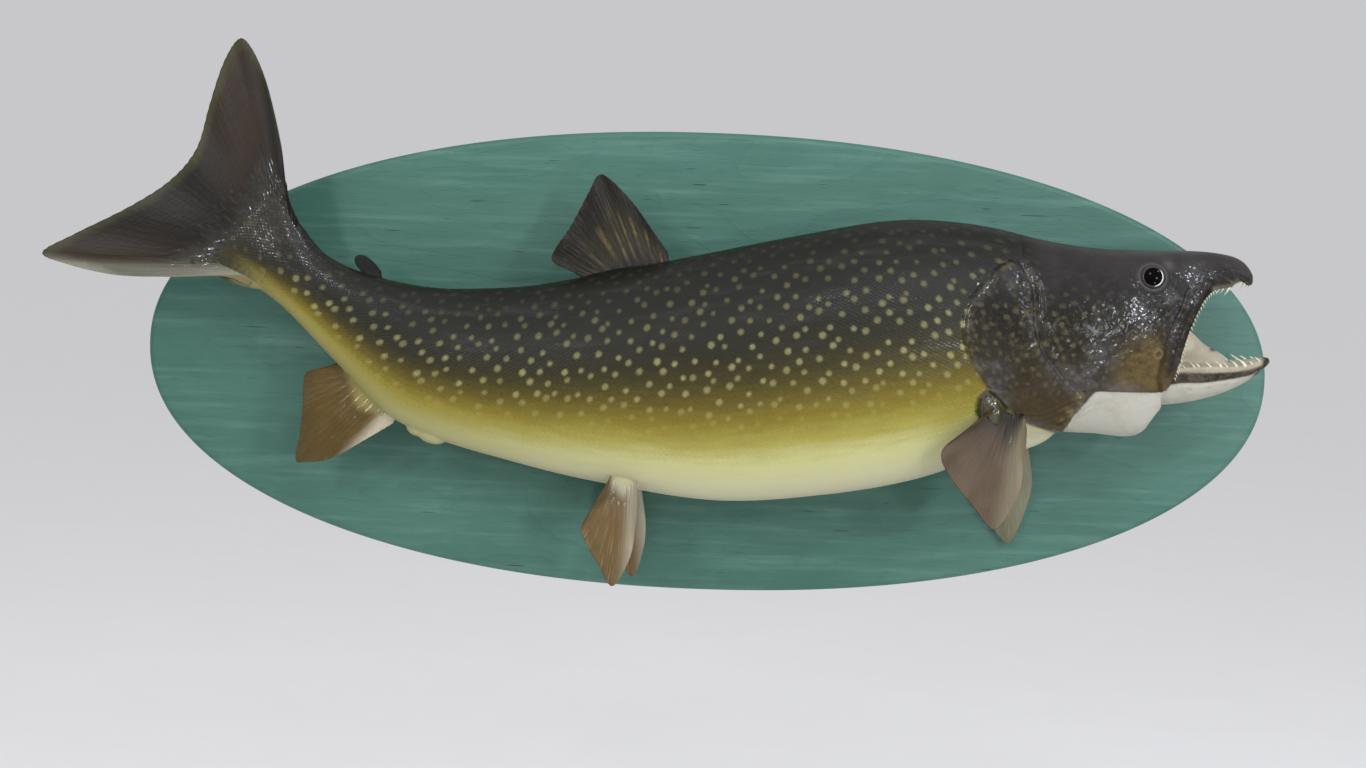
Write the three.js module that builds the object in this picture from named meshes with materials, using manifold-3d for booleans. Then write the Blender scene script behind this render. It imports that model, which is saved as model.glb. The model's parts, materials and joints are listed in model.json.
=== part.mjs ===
// A mounted lake trout: a life-size fish on an oval wall plaque.
// Millimetres. +X runs along the plaque to the head, -Y comes out of the wall, +Z is up.
// The origin is the middle of the plaque's flat back, which lies on the wall.

import * as THREE from 'three';
import { mergeVertices } from 'three/addons/utils/BufferGeometryUtils.js';
import Module from 'manifold-3d';

const wasm = await Module();
wasm.setup();
const { Manifold, Mesh: SolidMesh } = wasm;

// ---------------------------------------------------------------- driving sizes

const GAP = 0.3; // clearance between solids that touch
// The plaque's oval is a little squarer than an ellipse, whose power is 2.
const PLAQUE = { length: 1000, height: 410, thickness: 18, roundOver: 5, oval: 2.13, sides: 80 };
const FACE_Y = -PLAQUE.thickness; // the plaque's front

// The head turns about its own axis, so that its top leans out and the far jaw shows.
const HEAD = { startX: 285, axisY: -84, axisZ: 36, roll: 6 };

// Body stations from tail to shoulder. x, y, z is the middle, lean the climb of the
// axis toward the head in degrees, deep and half the half depth and half width.
const BODY_STATIONS = [
  { x: -398, y: -102, z: 105, lean: -39, deep: 37, half: 6, square: 2 },
  { x: -385, y: -99, z: 95, lean: -39, deep: 37, half: 10, square: 2 },
  { x: -371, y: -96, z: 82, lean: -38, deep: 33, half: 15, square: 2 },
  { x: -345, y: -91, z: 59, lean: -37, deep: 30, half: 21, square: 2 },
  { x: -302, y: -84, z: 30, lean: -28, deep: 42, half: 29, square: 2 },
  { x: -247, y: -79, z: 1.5, lean: -19, deep: 62, half: 38, square: 2 },
  { x: -165, y: -77, z: -12, lean: -2, deep: 76.5, half: 49, square: 2 },
  { x: -90, y: -78, z: -13, lean: 2, deep: 91.5, half: 57, square: 2 },
  { x: 0, y: -80, z: -9.5, lean: 7, deep: 107, half: 64, square: 2 },
  { x: 90, y: -82, z: 5, lean: 9.5, deep: 113, half: 67, square: 2.05 },
  { x: 170, y: -83, z: 21.5, lean: 8.5, deep: 112.5, half: 66, square: 2.05 },
  { x: 232, y: -84, z: 34, lean: 9, deep: 100, half: 61, square: 2.05 },
];
const BODY_ROLL = { 10: 2, 11: 4 }; // degrees, where the body starts to turn with the head

// Head stations in the head's own frame: level is the height of the widest line over
// the head's axis, up and down the depths over and under it.
const HEAD_STATIONS = [
  { x: 285, level: 0, up: 85, down: 85, half: 59, square: 2.15 },
  { x: 330, level: -4, up: 83.5, down: 79, half: 56, square: 2.4 },
  { x: 372, level: -3, up: 82, down: 79.5, half: 51, square: 2.8 },
  { x: 400, level: 4, up: 75.5, down: 60, half: 44, square: 2.8 },
  { x: 425, level: 22, up: 58, down: 43, half: 36, square: 2.6 },
  { x: 445, level: 39, up: 37.5, down: 30, half: 28, square: 2.4 },
  { x: 455, level: 47, up: 25, down: 22, half: 20.5, square: 2.1 },
  { x: 461.5, level: 52, up: 14, down: 12, half: 12.5, square: 2 },
  { x: 465, level: 57, up: 4, down: 5, half: 4, square: 2 },
];
const VENT = 5; // station where the tail stock meets the trunk
const NECK = BODY_STATIONS.length; // station where the trunk meets the head
const SNOUT = NECK + HEAD_STATIONS.length - 1;

// The mouth's hollow and the lower jaw, in the head's frame as above.
const MOUTH_STATIONS = [
  { x: 338, level: -4, up: 10, down: 14, half: 14, square: 2 },
  { x: 350, level: -4, up: 28, down: 50, half: 32, square: 2.2 },
  { x: 372, level: -2, up: 38, down: 50, half: 40, square: 2.4 },
  { x: 400, level: 4, up: 42, down: 56, half: 37, square: 2.4 },
  { x: 425, level: 20, up: 37, down: 60, half: 29, square: 2.2 },
  { x: 445, level: 39, up: 19, down: 50, half: 21, square: 2 },
  { x: 457, level: 47, up: 9, down: 40, half: 11, square: 2 },
];
const JAW_STATIONS = [
  { x: 387, level: -26, up: 13, down: 27.5, half: 38, square: 2.3 },
  { x: 405, level: -25, up: 12, down: 27, half: 35.5, square: 2.3 },
  { x: 425, level: -24, up: 9.5, down: 24, half: 31, square: 2.2 },
  { x: 445, level: -23, up: 8, down: 18.5, half: 24.5, square: 2.1 },
  { x: 462, level: -20, up: 7, down: 13.5, half: 17, square: 2 },
  { x: 475, level: -16, up: 5.5, down: 8.5, half: 10.5, square: 2 },
  { x: 482, level: -13.5, up: 4, down: 4.5, half: 5.5, square: 2 },
  { x: 485, level: -13, up: 2, down: 2, half: 2, square: 2 },
];
const JAW_FLOOR = [
  { x: 380, level: -12, up: 50, down: 20, half: 29, square: 2.4 },
  { x: 405, level: -12, up: 50, down: 20, half: 27, square: 2.4 },
  { x: 425, level: -12, up: 30, down: 19, half: 22.5, square: 2.3 },
  { x: 445, level: -10, up: 20, down: 19, half: 16, square: 2.2 },
  { x: 462, level: -7, up: 14, down: 16, half: 9.5, square: 2 },
  { x: 472, level: -4, up: 14, down: 10, half: 4, square: 2 },
];
const TONGUE_STATIONS = [
  { x: 382, level: -6, up: 27, down: 30, half: 17, square: 2 },
  { x: 400, level: -12, up: 31, down: 24, half: 16, square: 2 },
  { x: 415, level: -18, up: 29, down: 18, half: 14.5, square: 2 },
  { x: 428, level: -19, up: 19, down: 16, half: 12, square: 2 },
  { x: 440, level: -19, up: 13, down: 12, half: 8.5, square: 2 },
  { x: 447, level: -18, up: 8, down: 8, half: 4, square: 2 },
];

// Side outlines in the head's frame, [x, height over the head's axis].
const JAW_LINE = -36; // underside of the cheek, where the white throat begins
const HEAD_OUTLINE = [
  [HEAD.startX - 5, 120], [480, 120], [480, 52], [457, 51], [453, 55], [445, 55], [441, 50],
  [427, 50], [417, 46], [409, 34], [401, 18], [396, 2], [393, -18], [388, -32],
  [384, JAW_LINE], [HEAD.startX - 5, JAW_LINE - 2],
];
const THROAT_OUTLINE = [
  [HEAD.startX - 5, JAW_LINE - 2], [384, JAW_LINE], [386.5, JAW_LINE], [386.5, -55],
  [382, -57], [379, -64], [376, -72], [369, -81], [360, -95], [HEAD.startX - 5, -95],
];
const MAXILLA_OUTLINE = [
  [413, 59], [424, 54], [415, 43], [408, 30], [402, 14], [398.5, -4], [396, -18], [392, -30],
  [387, -34], [381, -29], [382, -18], [385, -7], [386, 5], [391, 21], [396, 36], [404, 49],
];
const GILL_OUTLINE = [
  [268, 62], [249, 70], [228, 52], [216, 35], [213, 14], [216, -3], [224, -20], [233, -33],
  [247, -47], [266, -65], [291, -75], [306, -77], [311, -62], [317, -39], [300, -27],
  [288, -14], [277, 3], [272, 24], [269, 49],
];
const GILL_MIDDLE = [262, 0]; // the cover's outline widens about this point for clearance
const GILL_THICK = 3.5;
const MAXILLA_THICK = 3.2;
const THROAT_INSET = 1.5; // how far the throat lies inside the cheeks
const SIDE_REACH = 90; // further out than any part of the head
const TOP_KEPT = 6; // an outline on one side of the head stops this far from its middle

const EYE = { x: 371, height: 61, radius: 11, dome: 4, sunk: 8, tilt: 18 };
const EYE_OUT = 38.5; // from the head's middle to the rim of the eye

// Teeth: where each row runs, how many, how tall and wide, and their tilt in degrees.
const LOWER_TEETH = { from: 408, to: 476, count: 7, tall: 7.5, wide: 1.6, tilt: 25 };
const UPPER_TEETH = { from: 431, to: 460, count: 5, tall: 5, wide: 1.5, tilt: 10 };
const MAXILLA_TEETH = { count: 8, tall: 3.4, wide: 1.1, tilt: 37, set: 1.5, out: 1.4 };
const ROOT = 2; // how deep a tooth is set
const TOOTH_SIZES = [0.75, 1.1]; // of the full height, from the back of the jaw to its front
const TOOTH_INSET = 4; // from the jaw's outer side to the row
const FRONT_TEETH_OUT = 2.5; // from the jaw's middle to its foremost teeth
const JAW_RIM = 0.72; // share of the jaw's upper depth at which its teeth stand
const LIP = { height: 51.5, arched: 55.5, archFrom: 443, archTo: 455 }; // under the snout
const MAXILLA_EDGE = [[419, 50], [411, 37], [404, 20], [399, 0], [396, -18]];

// Skin webs in the corners of the mouth, grown on the lower jaw.
const WEB_THICK = 1.6;
const WEB_OUT = 32;
const WEB_OUTLINE = [[387, -34], [387, 4], [393, 4], [398, -8], [404, -16], [404, -30]];

// Fins: base and margin points in side view from the leading edge round to the trailing
// edge, y at the base and the margin, thickness at both, and how far the middle bulges.
const TAIL_DETAIL = { rays: 26, rows: 3 };
const FIN_DETAIL = { rays: 16, rows: 2 };
const FINS = {
  dorsal_fin: {
    base: [[-36, 84], [-106, 66]], y: [-79, -80], thick: [5, 1.4], bulge: 2, colour: 0x3a3428,
    margin: [[-38, 98], [-53, 118], [-70, 140], [-91, 160], [-101, 162], [-109, 146],
      [-124, 116], [-135, 99], [-138, 87], [-122, 79], [-108, 73]],
  },
  adipose_fin: {
    base: [[-283, 60], [-297, 64]], y: [-83, -84], thick: [5, 2], bulge: 0, colour: 0x1c1a17,
    margin: [[-285, 73], [-292, 81], [-300, 86], [-307, 85], [-307, 78], [-299, 71]],
  },
  anal_fin: {
    base: [[-266, -48], [-316, -3]], y: [-80, -82], thick: [5, 1.4], bulge: -2, colour: 0x9a7038,
    margin: [[-272, -59], [-294, -73], [-324, -91], [-347, -95], [-355, -93], [-352, -70],
      [-350, -45], [-349, -19], [-336, -13], [-323, -9]],
  },
  tail_fin: {
    base: [[-357, 103], [-388, 64]], y: [-97, -106], thick: [9, 1.5], bulge: -5, colour: 0x4a3c28,
    margin: [[-354, 114], [-364, 140], [-370, 178], [-382, 226], [-396, 257], [-407, 266],
      [-419, 248], [-432, 207], [-442, 171], [-463, 145], [-497, 121], [-544, 96], [-571, 79],
      [-551, 70], [-508, 62], [-464, 62], [-416, 64], [-396, 57]],
  },
  pelvic_fin_right: {
    base: [[-58, -92], [-79, -88]], y: [-97, -120], thick: [5, 1.4], bulge: -3, colour: 0xa07840,
    margin: [[-56, -112], [-57, -135], [-61, -163], [-75, -188], [-88, -170], [-103, -143],
      [-98, -127], [-83, -110]],
  },
  pelvic_fin_left: {
    base: [[-56, -90], [-77, -86]], y: [-58, -38], thick: [5, 1.4], bulge: 3, colour: 0xa07840,
    margin: [[-55, -112], [-50, -140], [-51, -167], [-60, -192], [-74, -174], [-88, -146],
      [-88, -128], [-79, -110]],
  },
  pectoral_fin_right: {
    base: [[268, -26], [245, -16]], y: [-122, -152], thick: [7, 1.5], bulge: -5, colour: 0x7a6248,
    margin: [[268, -38], [267, -60], [263, -92], [245, -123], [225, -104], [204, -79],
      [197, -60], [212, -44], [238, -26]],
  },
  pectoral_fin_left: {
    base: [[270, -20], [247, -12]], y: [-44, -27], thick: [7, 1.5], bulge: 4, colour: 0x7a6248,
    margin: [[280, -40], [290, -70], [293, -104], [277, -151], [258, -134], [238, -104],
      [232, -80], [238, -55], [244, -30]],
  },
};

// ---------------------------------------------------------------- small tools

const rad = THREE.MathUtils.degToRad;
const headMatrix = new THREE.Matrix4()
  .makeTranslation(0, HEAD.axisY, HEAD.axisZ)
  .multiply(new THREE.Matrix4().makeRotationX(rad(HEAD.roll)));

const lerp = (a, b, f) => a + (b - a) * f;

// Catmull-Rom value at place t (0 at the first value, 1 at the second, and so on).
function smooth(values, t) {
  const last = values.length - 1;
  const i = Math.min(Math.floor(t), last - 1);
  const f = t - i;
  const [a, b, c, d] = [i - 1, i, i + 1, i + 2].map((k) => values[Math.max(0, Math.min(last, k))]);
  return b + 0.5 * f * (c - a + f * (2 * a - 5 * b + 4 * c - d + f * (3 * (b - c) + d - a)));
}

const column = (rows, name) => rows.map((row) => row[name]);

// A point on a section: angle 0 is its top, 90 degrees the side that faces out.
function sectionPoint(s, angle, grow = 0) {
  const power = 2 / s.square;
  const c = Math.cos(angle);
  const d = Math.sin(angle);
  const rise = Math.sign(c) * Math.abs(c) ** power * ((c > 0 ? s.up : s.down) + grow);
  const out = Math.sign(d) * Math.abs(d) ** power * (s.half + grow);
  return s.middle.clone().addScaledVector(s.top, rise).addScaledVector(s.side, out);
}

const middleOf = (ring) => ring
  .reduce((sum, p) => sum.add(p), new THREE.Vector3())
  .divideScalar(ring.length);

const solidFrom = (points, faces) => new Manifold(new SolidMesh({
  numProp: 3,
  vertProperties: Float32Array.from(points.flatMap((p) => [p.x, p.y, p.z])),
  triVerts: Uint32Array.from(faces.flat()),
}));

// Turns a list of rings of points into a closed solid, its two ends closed by fans.
function solidFromRings(rings) {
  const count = rings[0].length;
  const ends = [rings[0], rings.at(-1)].map((ring) => middleOf(ring));
  const points = [...rings.flat(), ...ends];
  const faces = [];
  for (let r = 0; r + 1 < rings.length; r++) {
    for (let i = 0; i < count; i++) {
      const [a, b] = [r * count + i, r * count + ((i + 1) % count)];
      faces.push([a, b, b + count], [a, b + count, a + count]);
    }
  }
  const lastRing = (rings.length - 1) * count;
  for (let i = 0; i < count; i++) {
    const next = (i + 1) % count;
    faces.push([points.length - 2, next, i], [points.length - 1, lastRing + i, lastRing + next]);
  }
  const solid = solidFrom(points, faces);
  return solid.volume() > 0 ? solid : solidFrom(points, faces.map(([a, b, c]) => [a, c, b]));
}

// A three.js geometry as a solid, after an optional move.
function solidOf(geometry, matrix = null) {
  const bare = geometry.clone();
  bare.deleteAttribute('normal');
  bare.deleteAttribute('uv');
  const merged = mergeVertices(bare, 1e-4);
  if (matrix) merged.applyMatrix4(matrix);
  return new Manifold(new SolidMesh({
    numProp: 3,
    vertProperties: Float32Array.from(merged.attributes.position.array),
    triVerts: Uint32Array.from(merged.index.array),
  }));
}

// A side outline [x, z] pushed through along Y from y0 to y1.
function prism(outline, y0, y1) {
  const shape = new THREE.Shape(outline.map(([x, z]) => new THREE.Vector2(x, z)));
  const geometry = new THREE.ExtrudeGeometry(shape, { depth: y1 - y0, bevelEnabled: false });
  geometry.rotateX(Math.PI / 2).translate(0, y1, 0);
  return solidOf(geometry);
}

const headPrism = (outline, y0 = -SIDE_REACH, y1 = SIDE_REACH) => (
  prism(outline, y0, y1).transform(headMatrix.elements));

function meshOf(name, solid, colour, roughness = 0.4) {
  const { vertProperties, triVerts, numProp } = solid.getMesh();
  if (numProp !== 3) throw new Error(`${name} carries more than positions`);
  const geometry = new THREE.BufferGeometry();
  geometry.setAttribute('position', new THREE.BufferAttribute(vertProperties, 3));
  geometry.setIndex(new THREE.BufferAttribute(triVerts, 1));
  geometry.computeVertexNormals();
  const material = new THREE.MeshStandardMaterial({ color: colour, roughness, metalness: 0 });
  const mesh = new THREE.Mesh(geometry, material);
  mesh.name = name;
  return mesh;
}

// ---------------------------------------------------------------- the body's shape

const SIDE_OUT = new THREE.Vector3(0, -1, 0);

function bodySection(row, index) {
  const lean = rad(row.lean);
  const roll = rad(BODY_ROLL[index] ?? 0);
  const upright = new THREE.Vector3(-Math.sin(lean), 0, Math.cos(lean));
  return {
    middle: new THREE.Vector3(row.x, row.y, row.z),
    top: upright.clone().multiplyScalar(Math.cos(roll)).addScaledVector(SIDE_OUT, Math.sin(roll)),
    side: SIDE_OUT.clone().multiplyScalar(Math.cos(roll)).addScaledVector(upright, -Math.sin(roll)),
    up: row.deep, down: row.deep, half: row.half, square: row.square,
  };
}

function headSection(row) {
  return {
    middle: new THREE.Vector3(row.x, 0, row.level).applyMatrix4(headMatrix),
    top: new THREE.Vector3(0, 0, 1).transformDirection(headMatrix),
    side: SIDE_OUT.clone().transformDirection(headMatrix),
    up: row.up, down: row.down, half: row.half, square: row.square,
  };
}

const WHOLE_FISH = [...BODY_STATIONS.map(bodySection), ...HEAD_STATIONS.map(headSection)];

// The section at place t between two stations.
function sectionAt(sections, t) {
  const blend = (pick) => new THREE.Vector3(...['x', 'y', 'z'].map((axis) => (
    smooth(sections.map((s) => pick(s)[axis]), t))));
  return {
    middle: blend((s) => s.middle),
    top: blend((s) => s.top).normalize(),
    side: blend((s) => s.side).normalize(),
    ...Object.fromEntries(['up', 'down', 'half', 'square'].map((key) => (
      [key, smooth(column(sections, key), t)]))),
  };
}

// A solid through the sections from place t0 to t1. The fish bears on the plaque, so its
// far flank is flat there.
function loft(sections, t0, t1, { perStation = 2, around = 28, grow = 0 } = {}) {
  const steps = Math.max(1, Math.round((t1 - t0) * perStation));
  const backY = FACE_Y - GAP;
  const rings = Array.from({ length: steps + 1 }, (_, r) => {
    const section = sectionAt(sections, lerp(t0, t1, r / steps));
    return Array.from({ length: around }, (_, i) => {
      const point = sectionPoint(section, (i / around) * 2 * Math.PI, grow);
      point.y = Math.min(point.y, backY);
      return point;
    });
  });
  return solidFromRings(rings);
}

const loftAll = (rows, options) => loft(rows.map(headSection), 0, rows.length - 1, options);

// ---------------------------------------------------------------- the plaque

function plaque() {
  const { length, height, thickness, roundOver, oval, sides } = PLAQUE;
  const ring = (inset, y) => Array.from({ length: sides }, (_, i) => {
    const angle = (i / sides) * 2 * Math.PI;
    const [c, s] = [Math.cos(angle), Math.sin(angle)];
    return new THREE.Vector3(
      Math.sign(c) * Math.abs(c) ** (2 / oval) * (length / 2 - inset),
      y,
      Math.sign(s) * Math.abs(s) ** (2 / oval) * (height / 2 - inset),
    );
  });
  const rings = [ring(0, 0)];
  for (const turn of [0, 30, 60, 90].map(rad)) {
    const inset = roundOver * (1 - Math.cos(turn));
    rings.push(ring(inset, -thickness + roundOver * (1 - Math.sin(turn))));
  }
  return solidFromRings(rings);
}

// ---------------------------------------------------------------- trunk and tail stock

const PLACE_GAP = 0.006; // about 0.3 mm of the body's length, counted in stations

const tailStock = () => loft(WHOLE_FISH, 0, VENT - PLACE_GAP);
const trunk = () => loft(WHOLE_FISH, VENT, NECK - PLACE_GAP);

// ---------------------------------------------------------------- head

// The eye is a low dome on a short plug; clearance widens it into the cut for its socket.
function eyePlug(side, clearance = 0) {
  const { x, height, radius, dome, sunk, tilt } = EYE;
  const r = radius + clearance;
  const profile = [[0, -sunk - clearance], [r, -sunk - clearance], [r, 0]];
  for (const turn of [25, 50, 75]) {
    profile.push([r * Math.cos(rad(turn)), (dome + clearance) * Math.sin(rad(turn))]);
  }
  profile.push([0, dome + clearance]);
  const lathe = new THREE.LatheGeometry(profile.map(([a, b]) => new THREE.Vector2(a, b)), 16);
  // The lathe's axis is turned from +Y to point out of this side of the head, and a bit up.
  const matrix = headMatrix.clone()
    .multiply(new THREE.Matrix4().makeTranslation(x, side * EYE_OUT, height))
    .multiply(new THREE.Matrix4().makeRotationX(side > 0 ? rad(tilt) : Math.PI - rad(tilt)));
  return solidOf(lathe, matrix);
}

// A pointed tooth: root at foot, tip along the direction, all in the head's frame.
function tooth(foot, direction, tall, wide) {
  const cone = new THREE.ConeGeometry(wide, tall + ROOT, 5);
  cone.translate(0, (tall - ROOT) / 2, 0);
  const turn = new THREE.Quaternion().setFromUnitVectors(new THREE.Vector3(0, 1, 0), direction);
  const place = new THREE.Matrix4().compose(foot, turn, new THREE.Vector3(1, 1, 1));
  return solidOf(cone, headMatrix.clone().multiply(place));
}

// A row of teeth on both sides of a jaw, just inside its rim.
function teethRow({ from, to, count, tall, wide, tilt }, rows, rimHeight, upward) {
  const lean = rad(tilt);
  const direction = new THREE.Vector3(-Math.sin(lean), 0, upward * Math.cos(lean));
  const teeth = [];
  for (let i = 0; i < count; i++) {
    const along = i / (count - 1);
    const x = lerp(from, to, along);
    const out = Math.max(widthAt(rows, x) - TOOTH_INSET, FRONT_TEETH_OUT);
    const size = tall * lerp(...TOOTH_SIZES, along);
    for (const side of [-1, 1]) {
      const foot = new THREE.Vector3(x, side * out, rimHeight(x));
      teeth.push(tooth(foot, direction, size, wide));
    }
  }
  return teeth;
}

// Interpolates one column of a station table at a place x.
function valueAt(rows, x, read) {
  const next = Math.max(1, rows.findIndex((row) => row.x >= x));
  const [a, b] = [rows[next - 1], rows[next]];
  return lerp(read(a), read(b), (x - a.x) / (b.x - a.x));
}

const widthAt = (rows, x) => valueAt(rows, x, (row) => row.half);

const union = (solids) => solids.reduce((sum, solid) => sum.add(solid));

function head() {
  const shell = loft(WHOLE_FISH, NECK + PLACE_GAP, SNOUT);
  const hollow = loftAll(MOUTH_STATIONS, { around: 16 });
  const bone = shell
    .intersect(headPrism(HEAD_OUTLINE))
    .subtract(hollow)
    .subtract(jawRoom())
    .subtract(eyePlug(-1, GAP))
    .subtract(eyePlug(1, GAP));
  const lipHeight = (x) => (x > LIP.archFrom && x < LIP.archTo ? LIP.arched : LIP.height);
  return union([bone, ...teethRow(UPPER_TEETH, HEAD_STATIONS, lipHeight, -1)]);
}

// A plate that lies over the fish's surface, cut to a side outline in the head's frame.
function overlay(outline, thick, side, t0, t1) {
  const [near, far] = side < 0 ? [-SIDE_REACH, -TOP_KEPT] : [TOP_KEPT, SIDE_REACH];
  const sheet = loft(WHOLE_FISH, t0, t1, { grow: thick })
    .subtract(loft(WHOLE_FISH, t0 - 0.5, t1 + 0.5, { grow: GAP }));
  return sheet.intersect(headPrism(outline, near, far));
}

const gillCover = (side) => overlay(GILL_OUTLINE, GILL_THICK, side, NECK - 2.5, NECK + 1.5);

function maxilla(side) {
  const { count, tall, wide, tilt, set, out } = MAXILLA_TEETH;
  const blade = overlay(MAXILLA_OUTLINE, MAXILLA_THICK, side, NECK + 1.5, NECK + 5.5);
  const direction = new THREE.Vector3(Math.cos(rad(tilt)), 0, -Math.sin(rad(tilt)));
  const teeth = Array.from({ length: count }, (_, i) => {
    const t = (i / (count - 1)) * (MAXILLA_EDGE.length - 1);
    const x = smooth(MAXILLA_EDGE.map((p) => p[0]), t) - set;
    const z = smooth(MAXILLA_EDGE.map((p) => p[1]), t);
    const foot = new THREE.Vector3(x, side * (widthAt(HEAD_STATIONS, x) + out), z);
    return tooth(foot, direction, tall, wide);
  });
  return union([blade, ...teeth]);
}

// The space that the lower jaw takes, with clearance.
function jawRoom() {
  const [rear, ...rest] = JAW_STATIONS;
  return loftAll([{ ...rear, x: rear.x - 2 * GAP }, ...rest], { around: 18, grow: GAP });
}

function throat() {
  return loft(WHOLE_FISH, NECK + PLACE_GAP, NECK + 3, { around: 24, grow: -THROAT_INSET })
    .intersect(headPrism(THROAT_OUTLINE.map(([x, z]) => [x, z - GAP])))
    .subtract(jawRoom());
}

function lowerJaw() {
  const rim = (x) => valueAt(JAW_STATIONS, x, (row) => row.level + row.up * JAW_RIM);
  const bone = loftAll(JAW_STATIONS, { around: 18 })
    .subtract(loftAll(JAW_FLOOR, { around: 14 }));
  const webs = [-WEB_OUT, WEB_OUT].map((out) => (
    headPrism(WEB_OUTLINE, out - WEB_THICK / 2, out + WEB_THICK / 2)));
  return union([bone, ...webs, ...teethRow(LOWER_TEETH, JAW_STATIONS, rim, 1)]);
}

function tongue() {
  const seat = JAW_FLOOR.map((row) => ({ ...row, down: row.down - GAP, half: row.half - GAP }));
  return loftAll(TONGUE_STATIONS, { around: 12 }).intersect(loftAll(seat, { around: 14 }));
}

// ---------------------------------------------------------------- fins

// A tapering plate between a base line and a curved margin, thinnest at the margin.
function finPlate({ base, margin, y, thick, bulge }, { rays, rows }) {
  const edge = (f, axis) => smooth(margin.map((p) => p[axis]), f * (margin.length - 1));
  const sheet = (face) => (i, j) => {
    const [u, v] = [i / rays, j / rows];
    const spread = Math.sin(Math.PI * u) * Math.sin(Math.PI * Math.min(v, 0.999));
    return new THREE.Vector3(
      lerp(lerp(base[0][0], base[1][0], u), edge(u, 0), v),
      lerp(y[0], y[1], v) + bulge * spread + (face * lerp(thick[0], thick[1], v)) / 2,
      lerp(lerp(base[0][1], base[1][1], u), edge(u, 1), v),
    );
  };
  // Each ring goes out along the front face and back along the rear one.
  const rings = Array.from({ length: rays + 1 }, (_, i) => {
    const out = Array.from({ length: rows + 1 }, (_, j) => sheet(-1)(i, j));
    const back = Array.from({ length: rows + 1 }, (_, j) => sheet(1)(i, rows - j));
    return [...out, ...back];
  });
  return solidFromRings(rings);
}

function fins() {
  const wider = 1.01;
  const gillRoom = GILL_OUTLINE.map((point) => (
    point.map((value, axis) => lerp(GILL_MIDDLE[axis], value, wider))));
  const fish = loft(WHOLE_FISH, 0, NECK + 1, { grow: 1.5 * GAP })
    .add(loft(WHOLE_FISH, NECK - 2.5, NECK + 1.5, { grow: GILL_THICK + GAP })
      .intersect(headPrism(gillRoom)));
  return Object.entries(FINS).map(([name, fin]) => {
    const parts = finPlate(fin, name === 'tail_fin' ? TAIL_DETAIL : FIN_DETAIL)
      .subtract(fish)
      .decompose();
    const largest = parts.reduce((best, part) => (part.volume() > best.volume() ? part : best));
    return meshOf(name, largest, fin.colour, 0.45);
  });
}

// ---------------------------------------------------------------- the whole part

const group = new THREE.Group();
const add = (...parts) => group.add(...parts);

add(meshOf('board', plaque(), 0x4f8a78, 0.6));
add(meshOf('tail_stock', tailStock(), 0x6b6030));
add(meshOf('trunk', trunk(), 0x7a7038));

add(meshOf('head', head(), 0x3a352c, 0.25));
add(meshOf('throat', throat(), 0xc9c6b0, 0.3));
add(meshOf('lower_jaw', lowerJaw(), 0x8a8474, 0.3));
add(meshOf('tongue', tongue(), 0xc8a898, 0.3));

for (const [name, side] of [['right', -1], ['left', 1]]) {
  add(meshOf(`gill_cover_${name}`, gillCover(side), 0x453f30, 0.25));
  add(meshOf(`maxilla_${name}`, maxilla(side), 0x4a4436, 0.25));
  add(meshOf(`eye_${name}`, eyePlug(side), 0x15120e, 0.05));
}
add(...fins());

export default group;
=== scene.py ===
# %% [markdown]
# # A mounted lake trout on a stained oval plaque
# A taxidermist's trout is one painted, lacquered skin over a hard body. Its scales, fin rays, teeth and
# glass eyes catch the light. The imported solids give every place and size. This lesson puts the skin,
# the scales, the fins and the finishes on them.

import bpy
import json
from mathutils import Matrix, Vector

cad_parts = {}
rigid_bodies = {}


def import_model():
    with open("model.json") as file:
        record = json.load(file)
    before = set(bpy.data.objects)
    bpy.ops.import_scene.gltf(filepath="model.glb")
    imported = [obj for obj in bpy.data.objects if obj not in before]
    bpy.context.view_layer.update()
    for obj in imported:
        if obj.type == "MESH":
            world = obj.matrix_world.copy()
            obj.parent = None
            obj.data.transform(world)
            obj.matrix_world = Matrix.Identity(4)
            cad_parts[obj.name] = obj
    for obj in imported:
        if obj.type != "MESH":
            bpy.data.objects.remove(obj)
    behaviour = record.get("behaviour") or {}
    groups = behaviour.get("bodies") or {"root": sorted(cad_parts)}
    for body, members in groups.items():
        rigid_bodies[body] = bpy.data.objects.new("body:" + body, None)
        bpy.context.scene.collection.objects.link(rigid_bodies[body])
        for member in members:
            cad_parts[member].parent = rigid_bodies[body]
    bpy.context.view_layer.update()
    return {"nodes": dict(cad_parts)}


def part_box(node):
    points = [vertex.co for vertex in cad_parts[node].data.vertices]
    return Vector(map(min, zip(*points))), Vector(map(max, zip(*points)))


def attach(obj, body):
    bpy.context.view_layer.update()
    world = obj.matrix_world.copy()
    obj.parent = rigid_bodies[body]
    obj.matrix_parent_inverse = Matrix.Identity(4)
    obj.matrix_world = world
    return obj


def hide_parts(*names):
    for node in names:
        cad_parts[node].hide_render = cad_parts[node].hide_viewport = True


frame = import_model()
print("nodes:", ", ".join(sorted(frame["nodes"])))

# %% Tools
import json
import math

import bmesh
import bpy
import numpy as np
from mathutils import Matrix, Vector
from mathutils.noise import turbulence

MM = 0.001  # the tables are in millimetres, and a piece's mesh is in metres
BODY = "root"  # the one body that every piece rides on


def linked(name, data):
    """A new object that holds the data, in the scene."""
    thing = bpy.data.objects.new(name, data)
    bpy.context.scene.collection.objects.link(thing)
    return thing


print("one body:", BODY)

# %% [markdown]
# ## Camera, floor and light
# The mount hangs at eye height and is seen from straight in front and a little above, with the camera
# turned a touch on its own axis. Wide, soft lights give the long pale gleam along the back, and a few
# smaller ones make the lacquer sparkle.

# %% Camera
DISTANCE = 2.0
LIFT = math.radians(4.0)
TURN = math.radians(2.09)
LENS, SENSOR = 58.87, 36.0  # millimetres
AIM = np.array([-0.02105, -0.018, -0.01967])


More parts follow.
